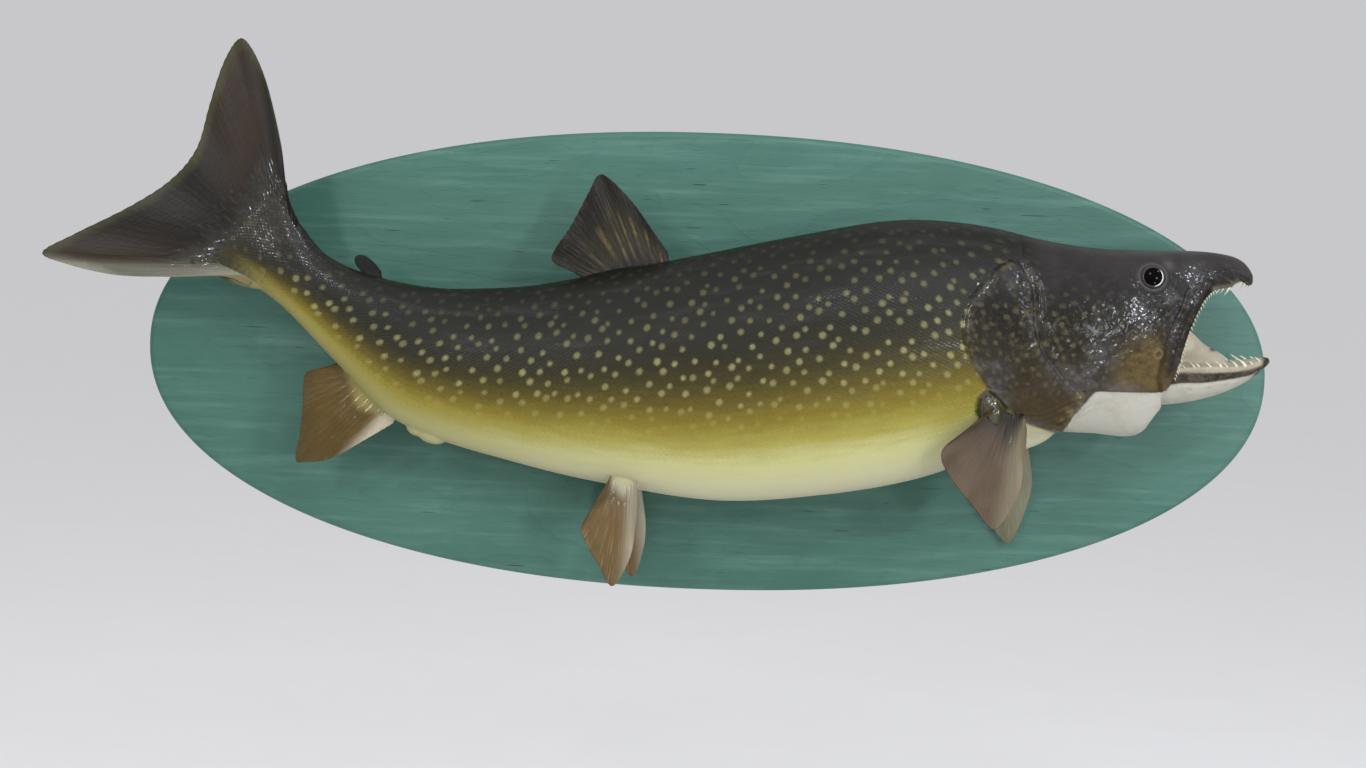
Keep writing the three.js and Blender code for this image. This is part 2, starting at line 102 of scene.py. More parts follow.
def add_camera():
    forward = np.array([0.0, math.cos(LIFT), -math.sin(LIFT)])
    level_up = np.array([0.0, math.sin(LIFT), math.cos(LIFT)])
    right = np.array([1.0, 0, 0]) * math.cos(TURN) + level_up * math.sin(TURN)
    up = level_up * math.cos(TURN) - np.array([1.0, 0, 0]) * math.sin(TURN)
    data = bpy.data.cameras.new("camera")
    data.lens = LENS
    data.sensor_width = SENSOR
    camera = linked("camera", data)
    place = np.eye(4)
    place[:3, :] = np.stack([right, up, -forward, AIM - forward * DISTANCE], axis=1)
    camera.matrix_world = Matrix(place.tolist())
    bpy.context.scene.camera = camera
    return camera


print("camera at", [round(v, 3) for v in add_camera().location])

# %% Lights
BOARD_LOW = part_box("board")[0][2]
FLOOR_DROP = 0.42  # the floor is this far under the plaque
LIGHTS = {  # place, aim, width, height, power in watts, colour
    "key_light": ((-0.9, -3.1, 2.9), (0, 0, 0), 6.0, 4.0, 50, (1.0, 0.98, 0.95)),
    "top_light": ((0.1, -0.7, 2.3), (0, 0, 0), 3.2, 1.4, 11, (0.95, 0.97, 1.0)),
    "side_light": ((2.2, -1.9, 0.9), (0.2, 0, 0), 1.6, 1.6, 9, (0.95, 0.97, 1.0)),
    "sparkle_over": ((0.35, -1.75, 1.15), (0.3, 0, 0), 0.18, 0.18, 7.0, (0.90, 0.94, 1.0)),
    "sparkle_right": ((1.1, -1.75, 0.6), (0.3, 0, 0), 0.20, 0.20, 8.0, (0.90, 0.94, 1.0)),
    "sparkle_left": ((-1.0, -1.7, 0.8), (-0.2, 0, 0), 0.18, 0.18, 7.0, (0.97, 0.98, 1.0)),
    "sparkle_low": ((0.95, -1.95, 0.0), (0.3, 0, 0), 0.18, 0.18, 6.0, (0.90, 0.94, 1.0)),
    "sparkle_snout": ((1.15, -1.0, 1.15), (0.4, -0.1, 0.08), 0.15, 0.15, 7.0, (0.84, 0.91, 1.0)),
    "sparkle_tail": ((-0.82, -1.66, 0.34), (-0.42, -0.1, 0.12), 0.12, 0.12, 2.6, (0.95, 0.97, 1.0)),
}


def add_light(name, place, aim, width, height, power, colour):
    data = bpy.data.lights.new(name, "AREA")
    data.shape = "RECTANGLE"
    data.size, data.size_y, data.energy, data.color = width, height, power, colour
    light = linked(name, data)
    away = Matrix.Translation(place).translation - Matrix.Translation(aim).translation
    light.location = place
    light.rotation_euler = away.to_track_quat("Z", "Y").to_euler()


for light_name, light_facts in LIGHTS.items():
    add_light(light_name, *light_facts)
print(len(LIGHTS), "lights")

# %% [markdown]
# ## Shader maths
# A finish is a small program. The class Value wraps one socket, so that masks can be added and
# multiplied like numbers, and Graph makes every other node by one method. Finish is a graph that
# makes a material.


# %% Value and Finish
class Value:
    """A number that varies over a surface."""

    def __init__(self, graph, socket):
        self.graph, self.socket = graph, socket

    def _math(self, operation, *others):
        return self.graph.maths(operation, self, *others)

    def __add__(self, other):
        return self._math("ADD", other)

    def __mul__(self, other):
        return self._math("MULTIPLY", other)

    def __sub__(self, other):
        return self._math("SUBTRACT", other)

    def __rsub__(self, other):
        return self.graph.maths("SUBTRACT", other, self)

    __radd__ = __add__
    __rmul__ = __mul__

    def at_most(self, other):
        return self._math("MINIMUM", other)

    def at_least(self, other):
        return self._math("MAXIMUM", other)

    def size(self):
        return self._math("ABSOLUTE")


class Graph:
    """A tree whose nodes are all made by one method."""

    def __init__(self, tree):
        self.tree = tree

    def node(self, kind, settings=None, out=0, **sockets):
        node = self.tree.nodes.new(kind)
        for name, value in (settings or {}).items():
            if name == "stops":
                self._stops(node.color_ramp, value)
            else:
                setattr(node, name, value)
        for name, value in sockets.items():
            self.feed(node.inputs[int(name[1:]) if name[0] == "_" else name.replace("_", " ")], value)
        return Value(self, node.outputs[out])

    def _stops(self, ramp, stops):
        while len(ramp.elements) < len(stops):
            ramp.elements.new(0.5)
        for element, (place, colour) in zip(ramp.elements, stops):
            element.position = place
            if isinstance(colour, (int, float)):
                colour = (colour,) * 3
            element.color = (*colour, 1.0)

    def feed(self, socket, value):
        if isinstance(value, Value):
            self.tree.links.new(value.socket, socket)
        elif isinstance(value, tuple) and socket.type == "RGBA":
            socket.default_value = (*value, 1.0)
        else:
            socket.default_value = value

    def maths(self, operation, *values, kind="ShaderNodeMath", **sockets):
        sockets |= {f"_{i}": value for i, value in enumerate(values)}
        return self.node(kind, {"operation": operation}, **sockets)


class Finish(Graph):
    """One material, whose nodes are made as its look is described."""

    def __init__(self, name):
        self.material = bpy.data.materials.new(name)
        self.material.use_nodes = True
        super().__init__(self.material.node_tree)
        self.tree.nodes.clear()
        self.shader = self.tree.nodes.new("ShaderNodeBsdfPrincipled")
        output = self.tree.nodes.new("ShaderNodeOutputMaterial")
        self.tree.links.new(self.shader.outputs[0], output.inputs["Surface"])

    def attribute(self, name, out="Fac"):
        return self.node("ShaderNodeAttribute", {"attribute_name": name}, out=out)

    def mix(self, factor, below, above):
        settings = {"data_type": "RGBA", "clamp_factor": True}
        return self.node("ShaderNodeMix", settings, out=2, _0=factor, _6=below, _7=above)

    def coats(self, colour, *coats):
        """Coats of paint over a colour, each given as where it covers and its screen colour."""
        for cover, above in coats:
            colour = self.mix(cover, colour, above if isinstance(above, Value) else paint(*above))
        return colour

    def blend(self, factor, first, second):
        """A mixture of two screen colours."""
        return self.mix(factor, paint(*first), paint(*second))

    def step(self, value, low, high):
        settings = {"interpolation_type": "SMOOTHSTEP"}
        return self.node("ShaderNodeMapRange", settings, _0=value, _1=low, _2=high, _3=0.0, _4=1.0)

    def ramp(self, value, stops):
        return self.node("ShaderNodeValToRGB", {"stops": stops}, _0=value)

    def split(self, vector):
        self.node("ShaderNodeSeparateXYZ", _0=vector)
        outputs = self.tree.nodes[-1].outputs
        return tuple(Value(self, output) for output in outputs)

    def join(self, x, y, z):
        return self.node("ShaderNodeCombineXYZ", _0=x, _1=y, _2=z)

    def place(self, stretch=(1.0, 1.0, 1.0)):
        where = self.node("ShaderNodeTexCoord", out="Object")
        return self.node("ShaderNodeMapping", Vector=where, Scale=stretch)

    def noise(self, where, scale, detail=2.0, rough=0.5, warp=0.0):
        return self.node("ShaderNodeTexNoise", _0=where, Scale=scale, Detail=detail, Roughness=rough,
                         Distortion=warp)

    def bump(self, height, strength, distance, under=None):
        sockets = {"Strength": strength, "Distance": distance, "Height": height}
        if under is not None:
            sockets["Normal"] = under
        return self.node("ShaderNodeBump", **sockets)

    def finish(self, **sockets):
        for name, value in sockets.items():
            self.feed(self.shader.inputs[name.replace("_", " ")], value)
        return self.material


def paint(red, green, blue):
    """A screen colour from 0 to 255 as the linear one that a shader takes."""
    values = [v / 255 for v in (red, green, blue)]
    return tuple(v / 12.92 if v <= 0.04045 else ((v + 0.055) / 1.055) ** 2.4 for v in values)


def painted(bands):
    """The stops of a ramp from rows of a place and a screen colour."""
    return [(place, paint(*colour)) for place, colour in bands]


print("shader helpers ready")

# %% Floor and backdrop light
SKY_COLOUR = paint(214, 214, 217)
SKY_STRENGTH = 0.86
FLOOR_SHADE = 0.67  # how much of the light the floor gives back
FLOOR_GRAIN = 0.015  # how far the shade strays either way
FLOOR_REACH = 30.0


def floor_finish():
    """Far off, what the floor reflects and its own faint glow add up to the colour of the sky."""
    look = Finish("studio_floor")
    grain = look.noise(look.place(), 9.0, 3.0)
    colour = look.mix(grain, (FLOOR_SHADE - FLOOR_GRAIN,) * 3, (FLOOR_SHADE + FLOOR_GRAIN,) * 3)
    return look.finish(Base_Color=colour, Roughness=0.8, Specular_IOR_Level=0.0, Emission_Color=SKY_COLOUR,
                       Emission_Strength=SKY_STRENGTH * (1 - FLOOR_SHADE))


def add_floor():
    mesh = bpy.data.meshes.new("studio_floor")
    ways = ((-1, -1), (1, -1), (1, 1), (-1, 1))
    corners = [(x * FLOOR_REACH, y * FLOOR_REACH, BOARD_LOW - FLOOR_DROP) for x, y in ways]
    mesh.from_pydata(corners, [], [(0, 1, 2, 3)])
    mesh.materials.append(floor_finish())
    floor = linked("studio_floor", mesh)


def add_sky():
    world = bpy.data.worlds.new("studio")
    world.use_nodes = True
    background = world.node_tree.nodes["Background"]
    background.inputs["Color"].default_value = (*SKY_COLOUR, 1.0)
    background.inputs["Strength"].default_value = SKY_STRENGTH
    bpy.context.scene.world = world
    bpy.context.scene.view_settings.view_transform = "Standard"


add_floor()
add_sky()
print("floor at", round(BOARD_LOW - FLOOR_DROP, 3))

# %% [markdown]
# ## The fish's form
# A trout's body is a row of ovals along a bent line. Each row of the table is one oval, from the tail
# to the shoulder and on to the snout, and a smooth curve runs through every column. The head has a
# frame of its own, turned a few degrees so that its top leans out from the wall.

# %% Curves and powers
def smooth(values, t):
    """A smooth curve through the values: t is 0 at the first one, 1 at the next, and so on."""
    values = np.asarray(values, float)
    last = len(values) - 1
    t = np.asarray(t, float)
    i = np.clip(np.floor(t).astype(int), 0, last - 1)
    f = t - i
    if values.ndim > 1:
        f = f[..., None]
    a, b, c, d = (values[np.clip(i + k, 0, last)] for k in (-1, 0, 1, 2))
    return b + 0.5 * f * (c - a + f * (2 * a - 5 * b + 4 * c - d + f * (3 * (b - c) + d - a)))


def blunt(value, power):
    """A power that keeps the sign: on a sine and a cosine it squares off an oval."""
    return np.sign(value) * np.abs(value) ** power


def unit(vectors):
    length = np.linalg.norm(vectors, axis=-1, keepdims=True)
    return vectors / np.maximum(length, 1e-9)


def turns(count):
    """Angles once round a full turn."""
    return np.linspace(0, 2 * math.pi, count, endpoint=False)


print("half way from 0 to 1 on a smooth curve:", smooth([0, 0, 1, 1], 1.5))

# %% Stations
BACK_Y = -18.3  # the far flank bears on the plaque here
HEAD = {"y": -84.0, "z": 36.0, "roll": math.radians(6.0)}
BODY_STATIONS = [  # x, y, z, lean, half depth, half width, squareness
    (-423, -102.5, 125, -39, 50, 2.2, 2), (-411, -102, 115.5, -39, 46, 3.9, 2),
    (-398, -101.5, 105, -39, 42, 6.4, 2), (-385, -99, 95, -39, 38, 10, 2),
    (-371, -96, 82, -38, 33, 15, 2), (-345, -91, 59, -37, 30, 21, 2),
    (-302, -84, 30, -28, 42, 29, 2), (-247, -79, 1.5, -19, 62, 38, 2),
    (-165, -77, -12, -2, 76.5, 49, 2), (-90, -78, -13, 2, 91.5, 57, 2),
    (0, -80, -9.5, 7, 107, 64, 2), (90, -82, 5, 9.5, 113, 67, 2.05),
    (170, -83, 21.5, 8.5, 112.5, 66, 2.05), (232, -84, 34, 9, 100, 61, 2.05),
]
BODY_ROLL = {12: 2, 13: 4}  # degrees, where the body starts to turn with the head
HEAD_STATIONS = [  # x, height of the widest line, depth over and under it, half width, squareness
    (285, 0, 85, 85, 59, 2.15), (330, -4, 83.5, 79, 56, 2.4), (372, -3, 82, 79.5, 51, 2.8),
    (400, 4, 76, 60, 44, 2.8), (425, 22, 58, 43, 36, 2.6), (445, 39, 38.5, 30, 28, 2.4),
    (455, 47, 26.3, 22, 20.5, 2.1), (461, 53, 14.5, 12, 12.5, 2), (464.3, 57.5, 5, 5, 5, 2),
]
NECK = len(BODY_STATIONS)
SNOUT = NECK + len(HEAD_STATIONS) - 1


def head_to_world(points):
    """Points of the head's frame, [x, across, height], in the fish's frame."""
    x, across, height = np.moveaxis(np.asarray(points, float), -1, 0)
    c, s = math.cos(HEAD["roll"]), math.sin(HEAD["roll"])
    return np.stack([x, HEAD["y"] + across * c - height * s, HEAD["z"] + across * s + height * c], -1)


def world_to_head(points):
    """The way back, from the fish's frame to the head's."""
    x, y, z = np.moveaxis(np.asarray(points, float), -1, 0)
    c, s = math.cos(HEAD["roll"]), math.sin(HEAD["roll"])
    y, z = y - HEAD["y"], z - HEAD["z"]
    return np.stack([x, y * c + z * s, z * c - y * s], -1)


def body_row(station, roll):
    """One oval: its middle, the way to its top and its near side, and its sizes."""
    x, y, z, lean, deep, half, square = station
    lean, roll = math.radians(lean), math.radians(roll)
    upright, outward = np.array([-math.sin(lean), 0, math.cos(lean)]), np.array([0.0, -1, 0])
    top = upright * math.cos(roll) + outward * math.sin(roll)
    side = outward * math.cos(roll) - upright * math.sin(roll)
    return [x, y, z, *top, *side, deep, deep, half, square]


def head_row(station):
    x, level, up, down, half, square = station
    middle = head_to_world([x, 0, level])
    origin = head_to_world([0, 0, 0])
    top = head_to_world([0, 0, 1]) - origin
    side = head_to_world([0, -1, 0]) - origin
    return [*middle, *top, *side, up, down, half, square]


FISH = np.array([body_row(row, BODY_ROLL.get(i, 0)) for i, row in enumerate(BODY_STATIONS)]
                + [head_row(row) for row in HEAD_STATIONS])


def surface(t, angle, grow=0.0, table=FISH, flat_back=True):
    """Points on the fish: angle 0 is the ridge of the back, a quarter turn the near flank."""
    row = smooth(table, t)
    middle, top, side = row[..., 0:3], unit(row[..., 3:6]), unit(row[..., 6:9])
    up, down, half, square = (row[..., k] for k in (9, 10, 11, 12))
    c, d = np.cos(angle), np.sin(angle)
    rise = blunt(c, 2 / square) * (np.where(c > 0, up, down) + grow)
    out = blunt(d, 2 / square) * (half + grow)
    points = middle + rise[..., None] * top + out[..., None] * side
    if flat_back:
        points[..., 1] = np.minimum(points[..., 1], BACK_Y)
    return points


print("the form runs through", len(FISH), "ovals")

# %% [markdown]
# ## Where a point is on the fish
# Both the skin and the scales carry the same markings, so both need to know where they are on the
# animal: how far along it, how far round it from the ridge of the back, and how high on the flank.
# Those three numbers are stored on every vertex as the attribute lie.

# %% Places on the fish
ALONG_COUNT, ROUND_COUNT = 420, 121
GRID_T = np.linspace(0, SNOUT, ALONG_COUNT)
GRID_ANGLE = np.linspace(0, math.pi, ROUND_COUNT)
GRID_ROW = smooth(FISH, GRID_T)
BLOCK = 20000  # points that are placed at a time, to save memory
HEIGHT_LIMIT = 1.2
NEARNESS = 0.12  # how much the distance from the middle line counts beside the distance along it


def lengths_along(points):
    """The length of a line of points from its start to each of them."""
    steps = np.linalg.norm(np.diff(points, axis=-2), axis=-1)
    return np.concatenate([np.zeros((*steps.shape[:-1], 1)), np.cumsum(steps, axis=-1)], axis=-1)


GRID_ALONG = lengths_along(GRID_ROW[:, :3])
GRID_GIRTH = lengths_along(surface(GRID_T[:, None], GRID_ANGLE[None, :], flat_back=False))


def on_grid(grid, u, v):
    """Values between the points of a grid, at shares u and v of its two directions."""
    i = np.clip(u * (grid.shape[0] - 1), 0, grid.shape[0] - 1.001)
    j = np.clip(v * (grid.shape[1] - 1), 0, grid.shape[1] - 1.001)
    i0, j0 = i.astype(int), j.astype(int)
    fi, fj = i - i0, j - j0
    if grid.ndim > 2:
        fi, fj = fi[:, None], fj[:, None]
    low = grid[i0, j0] * (1 - fj) + grid[i0, j0 + 1] * fj
    high = grid[i0 + 1, j0] * (1 - fj) + grid[i0 + 1, j0 + 1] * fj
    return low * (1 - fi) + high * fi


def girth_at(t, angle):
    """Distance round the fish from the ridge of its back, in millimetres."""
    return on_grid(GRID_GIRTH, t / SNOUT, angle / math.pi)


def places_on_fish(points):
    """For each point: station, angle (negative on the far side) and height from -1 to 1."""
    middle = GRID_ROW[:, :3]
    axis = unit(np.gradient(middle, axis=0))
    t = np.empty(len(points))
    for start in range(0, len(points), BLOCK):
        block = points[start:start + BLOCK]
        offset = block[:, None, :] - middle[None]
        ahead = np.abs(np.einsum("pgk,gk->pg", offset, axis))
        wide = np.linalg.norm(offset, axis=2)
        t[start:start + BLOCK] = GRID_T[np.argmin(ahead + NEARNESS * wide, axis=1)]
    row = smooth(FISH, t)
    offset = points - row[:, :3]
    rise = (offset * row[:, 3:6]).sum(1)
    out = (offset * row[:, 6:9]).sum(1)
    rise = rise / np.where(rise > 0, row[:, 9], row[:, 10])
    out = out / row[:, 11]
    half_square = row[:, 12] / 2
    angle = np.arctan2(blunt(out, half_square), blunt(rise, half_square))
    return t, angle, np.clip(rise, -HEIGHT_LIMIT, HEIGHT_LIMIT)


def lie_of(t, angle, height):
    """Metres along the fish and round it, and the height on the flank."""
    along = np.interp(t, GRID_T, GRID_ALONG)
    return np.stack([along * MM, np.sign(angle) * girth_at(t, np.abs(angle)) * MM, height], -1)


print("girth at the shoulder:", round(float(2 * GRID_GIRTH[:, -1].max())), "mm")

# %% [markdown]
# ## Lines and outlines on the head
# The gill cover, the groove in front of it, the jaw bones and the lips are drawn once, as side
# outlines in the head's frame. The same lines then raise the relief and bound the colours.

# %% Outlines of the head
JAW_LINE = -36.0  # underside of the cheek, where the white throat begins
MOUTH_EDGE = [
    (480, 55), (460, 53.5), (453.5, 56.5), (449, 58), (445, 56.5), (440, 53.5), (427, 52), (417, 47),
    (409, 34), (401, 18), (396, 2), (393, -18), (388, -32), (385, -40), (386.5, -50), (383, -56.5),
    (379, -64), (376, -72), (369, -81), (360, -95),
]
GILL_OUTLINE = [
    (268, 62), (249, 70), (228, 52), (216, 35), (213, 14), (216, -3), (224, -20), (233, -33), (247, -47),
    (266, -65), (291, -75), (306, -77), (311, -62), (317, -39), (300, -27), (288, -14), (277, 3), (272, 24),
    (269, 49),
]
CHEEK_GROOVE = [(262, 66), (270, 49), (272, 24), (277, 3), (288, -14), (300, -27), (317, -39)]
GILL_RISE = 2.7
HEAD_BACK = 195.0  # the relief and the paint of the head reach back to this x
EYE = {"x": 371.0, "height": 61.0, "radius": 11.0, "dome": 4.0, "out": 38.5, "tilt": math.radians(18)}


def smooth_line(points, count=30):
    """A smooth curve through a few places, as many."""
    points = np.asarray(points, float)
    return smooth(points, np.linspace(0, len(points) - 1, count))


def to_line(places, line):
    """Distance of each [x, height] from an open line, and how far along the line it is, 0 to 1."""
    line = np.asarray(line, float)
    best, share = np.full(len(places), 1e9), np.zeros(len(places))
    for i, (a, b) in enumerate(zip(line[:-1], line[1:])):
        f = np.clip(((places - a) @ (b - a)) / ((b - a) @ (b - a) + 1e-9), 0, 1)
        distance = np.linalg.norm(places - (a + f[:, None] * (b - a)), axis=1)
        nearer = distance < best
        best[nearer], share[nearer] = distance[nearer], (i + f[nearer]) / (len(line) - 1)
    return best, share


def inside(places, outline):
    """Signed distance into a closed outline: positive inside."""
    outline = np.asarray(outline, float)
    distance, _ = to_line(places, np.vstack([outline, outline[:1]]))
    x, z = places[:, 0], places[:, 1]
    odd = np.zeros(len(places), bool)
    for (x0, z0), (x1, z1) in zip(outline, np.roll(outline, -1, axis=0)):
        crosses = (z0 > z) != (z1 > z)
        odd ^= crosses & (x < (x1 - x0) * (z - z0) / (z1 - z0 + 1e-12) + x0)
    return np.where(odd, distance, -distance)


def step(value, low, high):
    """A soft step from 0 at low to 1 at high, which may lie either way round."""
    f = np.clip((value - low) / (high - low), 0, 1)
    return f * f * (3 - 2 * f)


def bell(value, width):
    """1 where the value is 0, fading over the width."""
    return np.exp(-((value / width) ** 2))


GILL_EDGE = smooth_line(GILL_OUTLINE + GILL_OUTLINE[:1], 90)
GROOVE_LINE = smooth_line(CHEEK_GROOVE, 40)


def relief(points):
    """How far the skin stands over the plain form, in millimetres, before it is made one piece."""
    x, across, height = world_to_head(points).T
    side_view = np.stack([x, height], -1)
    rise = np.full(len(points), -0.5)
    near_head = x > HEAD_BACK
    view = side_view[near_head]
    cover = inside(view, GILL_EDGE)
    from_groove, _ = to_line(view, GROOVE_LINE)
    flank = step(np.abs(across[near_head]), 6, 14)
    swell = GILL_RISE * step(cover, -0.6, 1.8) * (0.35 + 0.65 * step(from_groove, 1, 16)) * flank
    groove = -1.5 * bell(from_groove, 2.2) * flank
    throat = -2.0 * step(JAW_LINE - view[:, 1], -0.3, 1.5) * step(view[:, 0], 296, 312) * (cover < 0)
    rise[near_head] += swell + groove + throat
    return rise


print("gill cover outline:", len(GILL_EDGE), "points")

# %% [markdown]
# ## The skin's solids
# The skin starts as a few closed solids that run into each other: the body, the head with its open
# mouth, the lower jaw, the tongue, the jaw bones and the fleshy roots of the fins. A voxel remesh
# turns them into one piece without a seam, as skin is.


# %% Solids from rings
MERGE = 1e-7  # metres within which two points are one


def ring_faces(rings, around):
    """Quads between the rings, and a fan at each end."""
    quads = []
    i = np.arange(around)
    j = (i + 1) % around
    for here in range(0, (rings - 1) * around, around):
        quads.append(np.stack([here + i, here + j, here + around + j, here + around + i], -1))
    faces = np.concatenate(quads).tolist()
    first, last = rings * around, rings * around + 1
    top = (rings - 1) * around
    faces += [(first, b, a) for a, b in zip(i, j)]
    faces += [(last, top + a, top + b) for a, b in zip(i, j)]
    return faces


def solid_of_rings(rings):
    """A closed solid, as points and faces that point outwards."""
    rings = np.asarray(rings, float)
    count, around = rings.shape[:2]
    points = np.concatenate([rings.reshape(-1, 3), rings[0].mean(0)[None], rings[-1].mean(0)[None]])
    faces = ring_faces(count, around)
    corners = np.array([f[:3] for f in faces])
    a, b, c = (points[corners[:, k]] for k in range(3))
    if np.einsum("ij,ij->i", a, np.cross(b, c)).sum() < 0:
        faces = [tuple(reversed(f)) for f in faces]
    return points, faces


def fish_solid(t0, t1, spacing, around):
    """The fish's form from one station to another, in rings this many millimetres apart."""
    start, end = np.interp([t0, t1], GRID_T, GRID_ALONG)
    along = np.linspace(start, end, int((end - start) / spacing) + 1)
    t, angle = np.meshgrid(np.interp(along, GRID_ALONG, GRID_T), turns(around), indexing="ij")
    plain = surface(t, angle)
    rise = relief(plain.reshape(-1, 3)).reshape(t.shape)
    return solid_of_rings(surface(t, angle, rise))


def head_loft(stations, steps, around):
    """A solid through ovals in the head's frame."""
    table = np.array([head_row(row) for row in stations])
    t, angle = np.meshgrid(np.linspace(0, len(stations) - 1, steps), turns(around), indexing="ij")
    return solid_of_rings(surface(t, angle, table=table, flat_back=False))


def side_prism(outline, low, high):
    """A side outline of the head pushed across it, from low to high."""
    outline = np.asarray(outline, float)
    count = len(outline)
    near, far = (np.stack([outline[:, 0], np.full(count, y), outline[:, 1]], -1) for y in (low, high))
    faces = [tuple(range(count)), tuple(reversed(range(count, 2 * count)))]
    faces += [(i, i + count, (i + 1) % count + count, (i + 1) % count) for i in range(count)]
    return head_to_world(np.concatenate([near, far])), faces


def make_piece(name, points, faces, finish=None):
    """An object from points in millimetres."""
    mesh = bpy.data.meshes.new(name)
    mesh.from_pydata((np.asarray(points) * MM).tolist(), [], faces)
    mesh.update()
    mesh.shade_smooth()
    if finish:
        mesh.materials.append(finish)
    return linked(name, mesh)


def tidy_normals(piece):
    """Merges the doubles, then turns every face outwards."""
    form = bmesh.new()
    form.from_mesh(piece.data)
    bmesh.ops.remove_doubles(form, verts=form.verts, dist=MERGE)
    bmesh.ops.recalc_face_normals(form, faces=form.faces)
    form.to_mesh(piece.data)
    form.free()


def applied(piece):
    """The piece's mesh with its modifiers worked in, and the modifiers gone."""
    whole = bpy.data.meshes.new_from_object(piece.evaluated_get(bpy.context.evaluated_depsgraph_get()))
    piece.modifiers.clear()
    old = piece.data
    piece.data = whole
    bpy.data.meshes.remove(old)
    return piece


def cut(piece, *tools):
    """Takes the tools' solids out of the piece."""
    for tool in tools:
        modifier = piece.modifiers.new("cut", "BOOLEAN")
        modifier.operation, modifier.solver, modifier.object = "DIFFERENCE", "EXACT", tool
        applied(piece)
        bpy.data.objects.remove(tool)
    return piece


print("solid helpers ready")

# %% The head and the mouth
MOUTH_STATIONS = [
    (338, -4, 10, 14, 14, 2), (350, -4, 28, 50, 32, 2.2), (372, -2, 38, 50, 40, 2.4),
    (400, 4, 42, 56, 37, 2.4), (425, 20, 37, 60, 29, 2.2), (445, 39, 19, 50, 21, 2),
    (457, 47, 9, 40, 11, 2),
]
JAW_STATIONS = [
    (368, -27, 12, 24, 34, 2.3), (387, -26, 13, 27.5, 38, 2.3), (405, -25, 12, 27, 35.5, 2.3),
    (425, -24, 9.5, 24, 31, 2.2), (445, -23, 8, 18.5, 24.5, 2.1), (462, -20, 7, 13.5, 17, 2),
    (475, -16, 5.5, 8.5, 10.5, 2), (482, -13.5, 4, 4.5, 5.5, 2), (485, -13, 2, 2, 2, 2),
]
JAW_FLOOR = [
    (374, -12, 50, 20, 29, 2.4), (405, -12, 50, 20, 27, 2.4), (425, -12, 30, 19, 22.5, 2.3),
    (445, -10, 20, 19, 16, 2.2), (462, -7, 14, 16, 9.5, 2), (472, -4, 14, 10, 4, 2),
]
TONGUE_STATIONS = [
    (374, -8, 26, 28, 17, 2), (400, -12, 31, 24, 16, 2), (415, -18, 29, 18, 14.5, 2),
    (428, -19, 19, 16, 12, 2), (440, -19, 13, 12, 8.5, 2), (447, -18, 8, 8, 4, 2),
]


BEYOND_SNOUT = [(520, -95), (520, 52)]  # these two corners close the bite's outline in front
HEAD_REACH = 110.0  # well past both cheeks


def head_piece():
    """The head with its open mouth cut through and hollowed out."""
    head = make_piece("head_form", *fish_solid(NECK - 0.6, SNOUT, 1.6, 176))
    mouth_side = list(smooth_line(MOUTH_EDGE, 75)) + BEYOND_SNOUT
    bite = make_piece("bite", *side_prism(mouth_side, -HEAD_REACH, HEAD_REACH))
    hollow = make_piece("hollow", *head_loft(MOUTH_STATIONS, 60, 64))
    for tool in (bite, hollow):
        tidy_normals(tool)
    return cut(head, bite, hollow)


def jaw_piece():
    """The lower jaw, hollowed from above."""
    jaw = make_piece("jaw_form", *head_loft(JAW_STATIONS, 70, 72))
    floor = make_piece("jaw_hollow", *head_loft(JAW_FLOOR, 50, 56))
    return cut(jaw, floor)


forms = [
    make_piece("trunk_form", *fish_solid(0, NECK - 1.5, 3.2, 150)),
    make_piece("shoulder_form", *fish_solid(NECK - 1.8, NECK - 0.4, 1.5, 230)),
    head_piece(),
    jaw_piece(),
    make_piece("tongue_form", *head_loft(TONGUE_STATIONS, 40, 40)),
]
print("head and jaws:", [len(form.data.vertices) for form in forms])

# %% [markdown]
# ## Jaw bones, webs and fleshy roots
# The maxilla is a long smooth bone that lies over the edge of the cheek, with a thin toothed band in
# front of it. Both are flattened tubes that follow a line on the head. The roots of the fins and the
# small swelling at the vent are lobes of flesh, made as stretched balls that sink into the body.

# %% Bones, webs and lobes
HEAD_T = np.linspace(NECK, SNOUT, 200)
HEAD_ROWS = np.concatenate(
    [smooth([row[0] for row in HEAD_STATIONS], HEAD_T - NECK)[:, None],
     smooth([row[1:] for row in HEAD_STATIONS], HEAD_T - NECK)], axis=1)


def flank(x, height):
    """Half width of the head at a place in side view."""
    level, up, down, half, square = (np.interp(x, HEAD_ROWS[:, 0], HEAD_ROWS[:, k]) for k in range(1, 6))
    share = np.abs(height - level) / np.where(height > level, up, down)
    return half * np.maximum(1 - share ** square, 0) ** (1 / square)


MAXILLA = [  # x, height, half width, half thickness of the bone
    (424, 57, 2.5, 1.6), (417, 54, 5.2, 2.4), (409.5, 44, 6.0, 2.9), (402.5, 31, 6.0, 3.0),
    (397.5, 18, 6.0, 3.0), (393.5, 4, 6.2, 3.0), (390.5, -10, 6.6, 3.0), (388, -22, 6.0, 2.8),
    (386, -30, 4.4, 2.3), (385, -34, 2.0, 1.4),
]
TOOTH_BAND = [  # the thin inner edge that carries the maxilla's teeth
    (427, 52, 1.2, 1.2), (418, 46.5, 1.9, 1.6), (410.5, 34, 2.0, 1.7), (404, 18, 2.0, 1.7),
    (399.5, 2, 1.9, 1.7), (396.5, -14, 1.7, 1.6), (393, -26, 1.2, 1.2),
]
UPPER_LIP = [  # the soft rim of the snout, from the end of the maxilla round to its hooked tip
    (425, 54, 2.4, 1.8), (433, 54.6, 2.4, 1.9), (440, 55.6, 2.2, 1.8), (445, 58.5, 2.0, 1.6),
    (450, 60.3, 2.0, 1.6), (456, 58.6, 2.0, 1.5), (460.5, 57.5, 1.6, 1.4),
]
